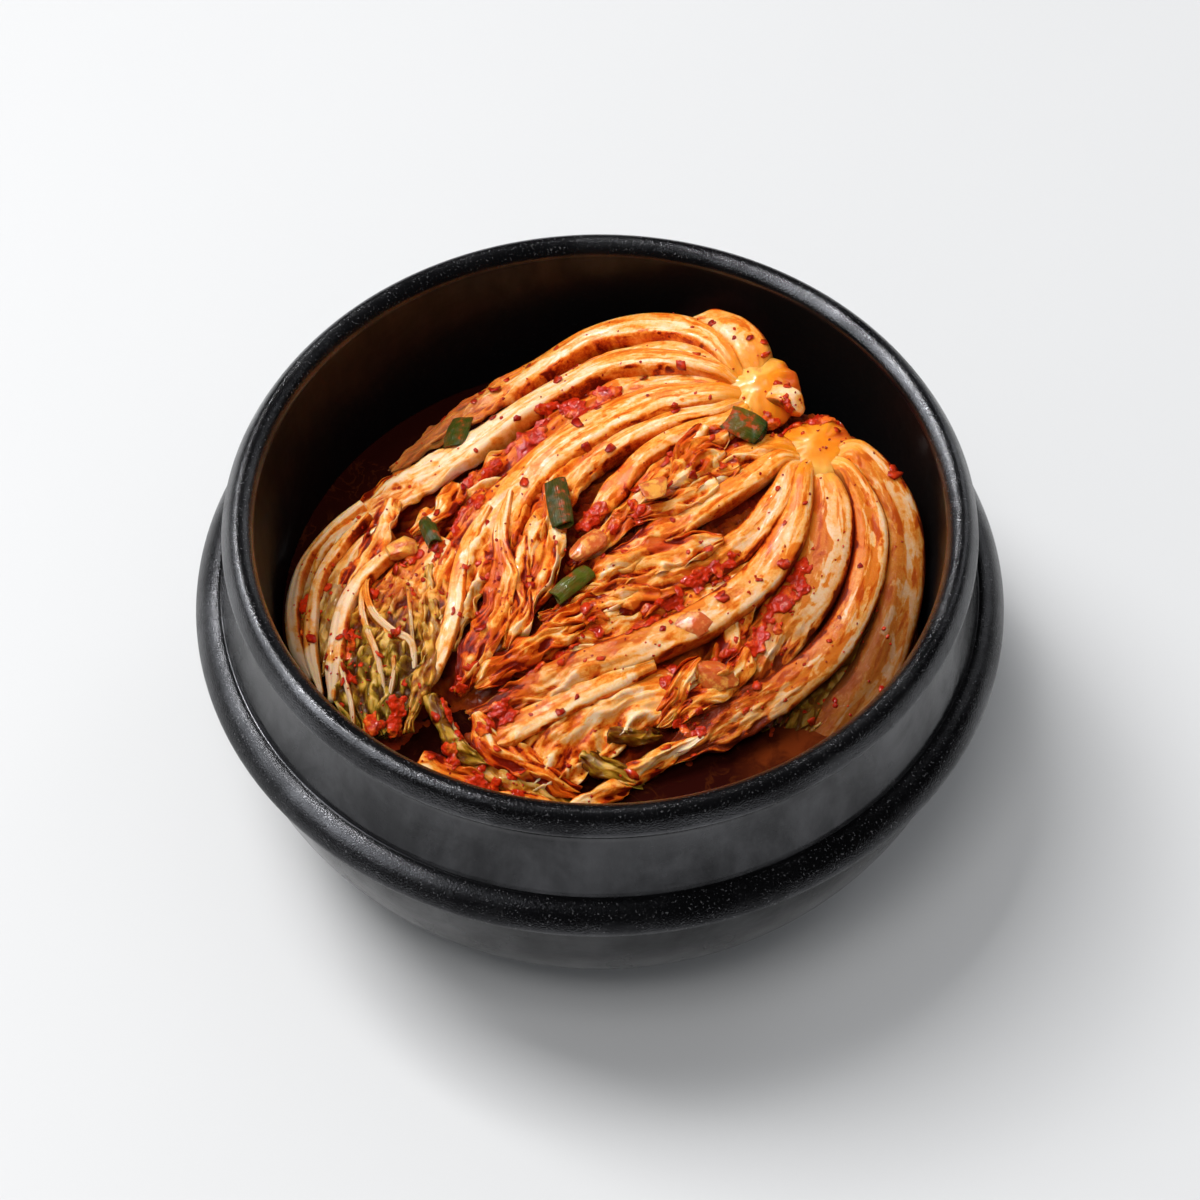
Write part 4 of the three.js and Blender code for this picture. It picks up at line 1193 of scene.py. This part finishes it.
class KIMCHI_OT_packed_mass(bpy.types.Operator):
    """Fills the middle of the heap with the folded inner leaves that show between the ribs"""

    bl_idname = "kimchi.packed_mass"
    bl_label = "Packed inner leaves"

    def execute(self, context):
        spokes, rings = 300, 150
        line, _ = route(HEAP_OUTLINE, spokes + 1, closed=True)
        share = np.linspace(0, 1, rings)[:, None]
        x, y = share * line[:, 0], share * line[:, 1]
        seam = side_of_seam(x, y)
        dip = (9 + 14 * smoothstep(-25, -60, y)) * np.exp(-(seam / 8) ** 2)
        strands = []
        for (root_x, root_y), seed in ((LEFT_ROOT, 71), (RIGHT_ROOT, 83)):
            angle = np.arctan2(y - root_y, x - root_x)
            away = np.hypot(x - root_x, y - root_y)
            bent = angle * 14 + 0.25 * away / 10
            wide = 0.6 * billows(bent, away / 22, seed)
            strands.append(wide + 0.4 * billows(bent * 2.1, away / 7, seed + 1))
        crease = np.where(seam > 0, strands[1], strands[0])
        lumps = billows(x / 3.4, y / 3.4, 90)
        relief = 3.6 * (crease - 0.5) + 1.6 * lumps + 0.4 * ripple(x / 1.4, y / 1.4, 91)
        rim_fall = 5 * smoothstep(0.93, 1.0, share)
        z = heap_height(x, y) - MOUND_DEPTH - 2.5 - 0.7 * dip + relief - rim_fall
        top = np.stack([x, y, z], -1)
        skirt = rings_below(line, [(1.0, np.minimum(60.0, z[-1] - 2)), (0.985, 50.0), (0.93, 36.0),
                                   (0.78, 24.0), (0.55, 14.5), (0.0, 13.5)])
        below = np.zeros(skirt.shape[:2])
        red = np.maximum(smoothstep(0.1, 0.6, ripple(x / 14, y / 14, 92)), paste_share(x, y))
        # The crease values also darken the material there as painted shade.
        relief = (np.concatenate([crease, below + 0.4]), np.concatenate([red, below]), 0.0)
        piece = woven(np.concatenate([top, skirt]), {"relief": relief})
        finished(piece, "packed_leaves", shared("packed_cabbage", mass_material),
                 ["cabbage_left", "cabbage_right"])
        return {"FINISHED"}


class KIMCHI_OT_leaves(bpy.types.Operator):
    """Lays the leaves of both quarters, each a thick rib that opens into a folded blade"""

    bl_idname = "kimchi.leaves"
    bl_label = "Leaves"

    def execute(self, context):
        finish = shared("wet_cabbage", cabbage_material)
        for quarter, kind, leaves, first_seed in LEAF_GROUPS:
            for number, spec in enumerate(leaves):
                points, attributes = leaf_points(spec, first_seed + 20 * number)
                piece = woven(points, attributes)
                name = f"{quarter}_{kind}_{number + 1:02d}"
                finished(piece, name, finish, [f"cabbage_{quarter}"])
        return {"FINISHED"}


class KIMCHI_OT_roots(bpy.types.Operator):
    """Shapes the glowing root end of each quarter, where its ribs meet"""

    bl_idname = "kimchi.roots"
    bl_label = "Root ends"

    def execute(self, context):
        finish = shared("cabbage_root", core_material)
        for quarter, (x, y), radius, lean, seed in ROOTS:
            deselect()
            bpy.ops.mesh.primitive_uv_sphere_add(segments=128, ring_count=80, radius=1)
            piece = bpy.context.object
            ball = places_of(piece).astype(float)
            turn = np.arctan2(ball[:, 1], ball[:, 0])
            out = np.hypot(ball[:, 0], ball[:, 1])
            ridge = 3.0 * ripple(turn * 3.4 + 9, ball[:, 2] * 0.6, seed) * smoothstep(0.25, 0.8, out)
            lump = ripple(ball[:, 0] * 2.2 + 4, ball[:, 1] * 2.2 + ball[:, 2], seed + 1)
            ball *= (1 + 0.05 * lump)[:, None]
            ball[:, 2] = np.sign(ball[:, 2]) * np.abs(ball[:, 2]) ** 1.25 + 0.05 * ridge
            ball[:, 2] += 0.03 * ripple(ball[:, 0] * 4, ball[:, 1] * 4, seed + 2)
            ball *= (0.9 * radius, 0.9 * radius, ROOT_HALF_HEIGHT)
            ball[:, :2] += (x, y)
            ball[:, 2] += heap_height(ball[:, 0], ball[:, 1]) - ROOT_DEPTH
            piece.data.vertices.foreach_set("co", (ball * MM).astype(np.float32).ravel())
            marked(piece, far=((ball[:, 0] - x) * lean[0] + (ball[:, 1] - y) * lean[1]) / radius)
            bpy.ops.object.shade_smooth()
            finished(piece, f"{quarter}_root", finish, [f"cabbage_{quarter}"])
        return {"FINISHED"}


# Scallion, radish, paste and flakes.


def food_surface():
    """Search trees of the cabbage pieces, for finding their tops."""
    scene_now = bpy.context.evaluated_depsgraph_get()
    return [BVHTree.FromObject(piece, scene_now) for piece in bpy.data.objects
            if piece.name.startswith(("left_", "right_", "packed_"))]


def top_at(trees, x, y):
    """The highest point of the food at a plan place, and its normal; None beside the food."""
    best = None
    for tree in trees:
        place, normal, _, _ = tree.ray_cast(Vector((x * MM, y * MM, 0.14)), Vector((0, 0, -1)))
        if place is not None and (best is None or place.z > best[0].z):
            best = (place, normal)
    return best


def laid_on_heap(points, place, heading, lift, depth):
    """Turns a shape to its heading, tips it to the heap's slope and moves it to its place."""
    x, y = place
    normal = heap_normal(np.array(x), np.array(y))
    angle = math.radians(heading)
    forward = np.array([math.cos(angle), math.sin(angle), 0.0])
    forward -= normal * (forward @ normal)
    forward /= np.linalg.norm(forward)
    side = np.cross(normal, forward)
    centre = np.array([x, y, heap_height(x, y) + lift + depth / 2 - 1])
    return centre + points @ np.stack([forward, side, normal])


def cut_tube(number, long, wide, deep, rows=40, columns=72):
    """A short flattened tube about its middle, out along its skin and back along its bore, and how
    far round it each column lies."""
    turn = np.linspace(0, 2 * math.pi, columns + 1)[None, :]
    share = np.linspace(-1, 1, rows)[:, None]
    skins = []
    for wall, part in ((0.0, share), (SCALLION_WALL, share[::-1])):
        y = (wide / 2 - wall) * (1 - 0.1 * part ** 2) * np.cos(turn)
        z = (deep / 2 - wall) * np.sin(turn) * (1 - 0.35 * np.cos(turn) ** 2)
        z = z + 0.35 * ripple(part * 2.2 + 5, y / 3.0, 50 + number) - 0.5 * part ** 2
        x = part * long / 2 + 0.06 * wide * np.cos(turn * 2 + number)
        skins.append(np.stack([x, y, z], -1))
    return np.concatenate([skins[0], skins[1], skins[0][:1]]), turn * wide / 3


class KIMCHI_OT_scallions(bpy.types.Operator):
    """Cuts the green scallion leaf into short flattened tubes and lays them on the heap"""

    bl_idname = "kimchi.scallions"
    bl_label = "Scallion"

    def execute(self, context):
        finish = shared("scallion_leaf", scallion_material)
        for number, (place, heading, size, lift, light) in enumerate(SCALLIONS):
            points, lanes = cut_tube(number, *size)
            runs = points[..., 0]
            olive = smoothstep(7, -2, runs) if number == OLIVE_SCALLION else 0.25
            laid = laid_on_heap(points, place, heading, lift, size[2])
            piece = woven(laid, {"strand": (lanes, runs, number * 9.1), "look": (light, olive, 0.0)})
            finished(piece, f"scallion_piece_{number + 1}", finish, [f"scallion_{number + 1}"])
        return {"FINISHED"}


def chunk(size, squareness, seed, rows=56, columns=84):
    """A lump of the given size about its middle, with slanting cut faces."""
    rise = np.linspace(-math.pi / 2, math.pi / 2, rows)[:, None]
    turn = np.linspace(0, 2 * math.pi, columns + 1)[None, :]

    def power(value):
        return np.sign(value) * np.abs(value) ** squareness

    x = power(np.cos(rise)) * power(np.cos(turn))
    y = power(np.cos(rise)) * power(np.sin(turn))
    z = power(np.sin(rise)) + 0 * turn
    lump = 1 + 0.1 * ripple(x * 1.3 + z, y * 1.3 + 7, seed)
    lump = lump + 0.04 * ripple(x * 3.7, y * 3.7 + 2 * z, seed + 1)
    points = np.stack([x, y, z], -1) * lump[..., None]
    for cut in np.random.default_rng(seed).normal(size=(9, 3)):
        cut /= np.linalg.norm(cut)
        points = points - 0.85 * np.maximum(points @ cut - 0.72, 0)[..., None] * cut
    points[:, -1] = points[:, 0]
    return points * np.array(size) / 2


class KIMCHI_OT_radishes(bpy.types.Operator):
    """Lays the soaked radish pieces on the heap"""

    bl_idname = "kimchi.radishes"
    bl_label = "Radish"

    def execute(self, context):
        finish = shared("soaked_radish", radish_material)
        for number, (place, heading, size, lift, squareness, tints) in enumerate(RADISHES):
            laid = laid_on_heap(chunk(size, squareness, 60 + number), place, heading, lift, size[2])
            piece = woven(laid, {"look": tints})
            finished(piece, f"radish_piece_{number + 1}", finish, [f"radish_{number + 1}"])
        return {"FINISHED"}


def turned_frames(normals, turns):
    """Axes for each shape, standing on its normal and turned about it."""
    guide = np.where(np.abs(normals[:, 2:]) > 0.9, [[1.0, 0, 0]], [[0, 0, 1.0]])
    first = np.cross(normals, guide)
    first /= np.linalg.norm(first, axis=1, keepdims=True)
    second = np.cross(normals, first)
    c, s = np.cos(turns)[:, None], np.sin(turns)[:, None]
    return np.stack([first * c + second * s, second * c - first * s, normals], 1)


def ball_of(rings, spokes):
    """Points and quads of a small ball."""
    rise = np.linspace(-math.pi / 2, math.pi / 2, rings)
    turn = np.linspace(0, 2 * math.pi, spokes, endpoint=False)
    points = [[0, 0, -1.0]]
    for a in rise[1:-1]:
        points += [[math.cos(a) * math.cos(b), math.cos(a) * math.sin(b), math.sin(a)] for b in turn]
    points.append([0, 0, 1.0])
    faces = []
    for k in range(spokes):
        n = (k + 1) % spokes
        faces.append([0, 1 + n, 1 + k, 1 + k])
        for r in range(rings - 3):
            low = 1 + r * spokes
            faces.append([low + k, low + n, low + spokes + n, low + spokes + k])
        low = 1 + (rings - 3) * spokes
        faces.append([low + k, low + n, len(points) - 1, len(points) - 1])
    return np.array(points), faces


def paste_lump(pick, ball, place, normal):
    """The points of one lump of paste, flattened on the food under it."""
    grown = 0.4 + 1.5 * pick.random() ** 2.4
    size = grown * np.array([pick.uniform(0.8, 1.8), 1.0, pick.uniform(0.45, 0.8)])
    if pick.random() < 0.3:
        size = np.array([2.2, 1.5, 0.6])
    shift = pick.uniform(0, 9)
    lump = 1 + 0.22 * ripple(ball[:, 0] * 1.4 + shift, ball[:, 1] * 1.4 + ball[:, 2], 77)
    axes = turned_frames(np.array([normal]), pick.uniform(0, 6.3, 1))[0]
    centre = np.array(place) / MM + np.array(normal) * 0.25 * size[2]
    return (centre + (ball * lump[:, None] * size) @ axes) * MM


class KIMCHI_OT_paste(bpy.types.Operator):
    """Spoons pulpy chilli paste along the hollows between the leaves"""

    bl_idname = "kimchi.paste"
    bl_label = "Chilli paste"

    def execute(self, context):
        trees = food_surface()
        pick = np.random.default_rng(12)
        ball, quads = ball_of(9, 12)
        all_points = []
        for path, width in PASTE_RUNS:
            line, run = route(path, 40)
            for _ in range(int(PASTE_DENSITY * run * width)):
                x, y = line[pick.integers(40)] + pick.normal(0, 0.42 * width, 2)
                spot = top_at(trees, x, y)
                if spot is None or spot[1].z < PASTE_UPRIGHT or ripple(x / 5.5, y / 5.5, 41) < -0.1:
                    continue
                if spot[0].z / MM > heap_height(x, y) - 1.2 + 1.6 * pick.random() ** 3:
                    continue
                all_points.append(paste_lump(pick, ball, *spot))
        faces = [[corner + k * len(ball) for corner in dict.fromkeys(quad)]
                 for k in range(len(all_points)) for quad in quads]
        piece = piece_from("paste", np.concatenate(all_points), faces)
        deselect()
        context.view_layer.objects.active = piece
        piece.select_set(True)
        merge = piece.modifiers.new("merge", "REMESH")
        merge.mode = "VOXEL"
        merge.voxel_size = PASTE_GRAIN * MM
        merge.use_smooth_shade = True
        bpy.ops.object.modifier_apply(modifier="merge")
        soften = piece.modifiers.new("soften", "SMOOTH")
        soften.factor, soften.iterations = 0.5, 3
        bpy.ops.object.modifier_apply(modifier="soften")
        pulp = bpy.data.textures.new("pulp", "CLOUDS")
        pulp.noise_scale, pulp.noise_depth = 1.1 * MM, 2
        lumpy = piece.modifiers.new("lumpy", "DISPLACE")
        lumpy.texture, lumpy.strength, lumpy.mid_level = pulp, 1.0 * MM, 0.55
        bpy.ops.object.modifier_apply(modifier="lumpy")
        finish = paste_material("chilli_paste", context.scene.kimchi_topping.paste, (0.90, 0.16, 0.014))
        finished(piece, "chilli_paste", finish, ["cabbage_left", "cabbage_right"])
        return {"FINISHED"}


def flake_points(pick):
    """A small bent flake about its middle: a top point, two rings and a bottom point."""
    size = 0.28 + 1.5 * pick.random() ** 4
    turn = np.linspace(0, 2 * math.pi, FLAKE_CORNERS, endpoint=False)
    turn = turn + pick.uniform(0, 0.6, FLAKE_CORNERS)
    reach = size * pick.uniform(0.7, 1.25, FLAKE_CORNERS)
    rim = np.stack([reach * np.cos(turn) * pick.uniform(1.0, 1.5), reach * np.sin(turn)], 1)
    bend = 0.12 * rim[:, 0] ** 2
    top = np.column_stack([rim, 0.08 + bend + pick.normal(0, 0.06, FLAKE_CORNERS)])
    bottom = np.column_stack([rim * 0.9, bend - 0.12])
    return np.concatenate([[[0, 0, 0.13]], top, bottom, [[0, 0, -0.12]]])


def flake_faces(first):
    """The faces of a flake whose points are numbered from first."""
    top, bottom = first + 1, first + 1 + FLAKE_CORNERS
    faces = []
    for k in range(FLAKE_CORNERS):
        n = (k + 1) % FLAKE_CORNERS
        faces += [[first, top + k, top + n], [top + k, bottom + k, bottom + n, top + n],
                  [bottom + FLAKE_CORNERS, bottom + n, bottom + k]]
    return faces


class KIMCHI_OT_flakes(bpy.types.Operator):
    """Scatters chilli flakes over the leaves"""

    bl_idname = "kimchi.flakes"
    bl_label = "Chilli flakes"

    def execute(self, context):
        trees = food_surface()
        pick = np.random.default_rng(21)
        settings = context.scene.kimchi_topping
        points, faces, tones = [], [], []
        while len(tones) < settings.flakes:
            if pick.random() < FLAKES_BY_PASTE:
                path, _ = PASTE_RUNS[pick.integers(len(PASTE_RUNS))]
                x, y = route(path, 20)[0][pick.integers(20)] + pick.normal(0, 4.5, 2)
            else:
                x, y = pick.uniform(-FLAKE_REACH, FLAKE_REACH, 2)
            if math.hypot(x, y) > FLAKE_REACH:
                continue
            spot = top_at(trees, x, y)
            if spot is None or spot[1].z < FLAKE_UPRIGHT or spot[0].z < FLAKE_FLOOR:
                continue
            place, normal = (np.array(value) for value in spot)
            shape = flake_points(pick)
            lean = normal + pick.normal(0, 0.14, 3)
            lean /= np.linalg.norm(lean)
            axes = turned_frames(lean[None], pick.uniform(0, 6.3, 1))[0]
            faces += flake_faces(len(points) * len(shape))
            points.append((place / MM + normal * 0.12 + shape @ axes) * MM)
            tones.append(np.full(len(shape), pick.random()))
        piece = piece_from("flakes", np.concatenate(points), faces)
        piece.data.shade_smooth()
        marked(piece, tone=np.concatenate(tones))
        finish = paste_material("chilli_flake", settings.flake, (0.66, 0.04, 0.006))
        finished(piece, "chilli_flakes", finish, ["cabbage_left", "cabbage_right"])
        return {"FINISHED"}


# Stage.


def aimed(name, data, place, target):
    """Puts a lamp or camera in its place and turns it to its target."""
    holder = bpy.data.objects.new(name, data)
    bpy.context.scene.collection.objects.link(holder)
    holder.location = place
    holder.rotation_euler = (Vector(target) - Vector(place)).to_track_quat("-Z", "Y").to_euler()
    return holder


class KIMCHI_OT_stage(bpy.types.Operator):
    """Sets the pale floor, the soft studio light and the camera"""

    bl_idname = "kimchi.stage"
    bl_label = "Stage"

    def execute(self, context):
        scene = context.scene
        settings = scene.kimchi_stage
        deselect()
        bpy.ops.mesh.primitive_plane_add(size=12, location=(0, 0, 0))
        floor = context.object
        floor.name = floor.data.name = "floor"
        made, place = material("pale_floor")
        darker = [0.97 * c for c in settings.floor]
        tone = blended(noise(place, 3.0), settings.floor, darker)
        floor.data.materials.append(dressed(made, Base_Color=tone, Roughness=0.6))

        world = bpy.data.worlds.new("studio")
        scene.world = world
        world.use_nodes = True
        sky = world.node_tree.nodes["Background"]
        sky.inputs["Color"].default_value = (0.96, 0.98, 1.0, 1.0)
        sky.inputs["Strength"].default_value = SKY_STRENGTH
        world.cycles_visibility.glossy = False

        for name, spot, size, tint, unseen in LAMPS:
            lamp = bpy.data.lights.new(f"{name}_light", "AREA")
            lamp.shape = "RECTANGLE"
            lamp.size, lamp.size_y = size
            lamp.energy = getattr(settings, name)
            lamp.color = tint
            holder = aimed(lamp.name, lamp, spot, LAMP_AIM)
            if unseen:
                setattr(holder, unseen, False)

        camera = bpy.data.cameras.new("camera")
        camera.lens = CAMERA_LENS
        camera.sensor_width = CAMERA_SENSOR
        tilt = math.radians(CAMERA_TILT)
        back = Vector((0, -math.cos(tilt), math.sin(tilt))) * CAMERA_DISTANCE
        scene.camera = aimed("camera", camera, Vector(CAMERA_AIM) + back, CAMERA_AIM)
        scene.view_settings.view_transform = "Standard"
        return {"FINISHED"}


class KIMCHI_PT_panel(bpy.types.Panel):
    """Lists the steps that make the bowl of kimchi"""

    bl_idname = "KIMCHI_PT_panel"
    bl_label = "Kimchi bowl"
    bl_space_type = "VIEW_3D"
    bl_region_type = "UI"
    bl_category = "Kimchi"

    def draw(self, context):
        for step in STEPS:
            self.layout.operator(step.bl_idname)


STEPS = [
    KIMCHI_OT_bowl,
    KIMCHI_OT_brine,
    KIMCHI_OT_packed_mass,
    KIMCHI_OT_leaves,
    KIMCHI_OT_roots,
    KIMCHI_OT_radishes,
    KIMCHI_OT_scallions,
    KIMCHI_OT_paste,
    KIMCHI_OT_flakes,
    KIMCHI_OT_stage,
]


def register():
    for group in SETTINGS.values():
        bpy.utils.register_class(group)
    for name, group in SETTINGS.items():
        setattr(bpy.types.Scene, name, PointerProperty(type=group))
    for step in [*STEPS, KIMCHI_PT_panel]:
        bpy.utils.register_class(step)


def unregister():
    for step in [KIMCHI_PT_panel, *reversed(STEPS)]:
        bpy.utils.unregister_class(step)
    for name in SETTINGS:
        delattr(bpy.types.Scene, name)
    for group in reversed(list(SETTINGS.values())):
        bpy.utils.unregister_class(group)


def main():
    register()
    for step in STEPS:
        family, name = step.bl_idname.split(".")
        getattr(getattr(bpy.ops, family), name)()


if __name__ == "__main__":
    main()
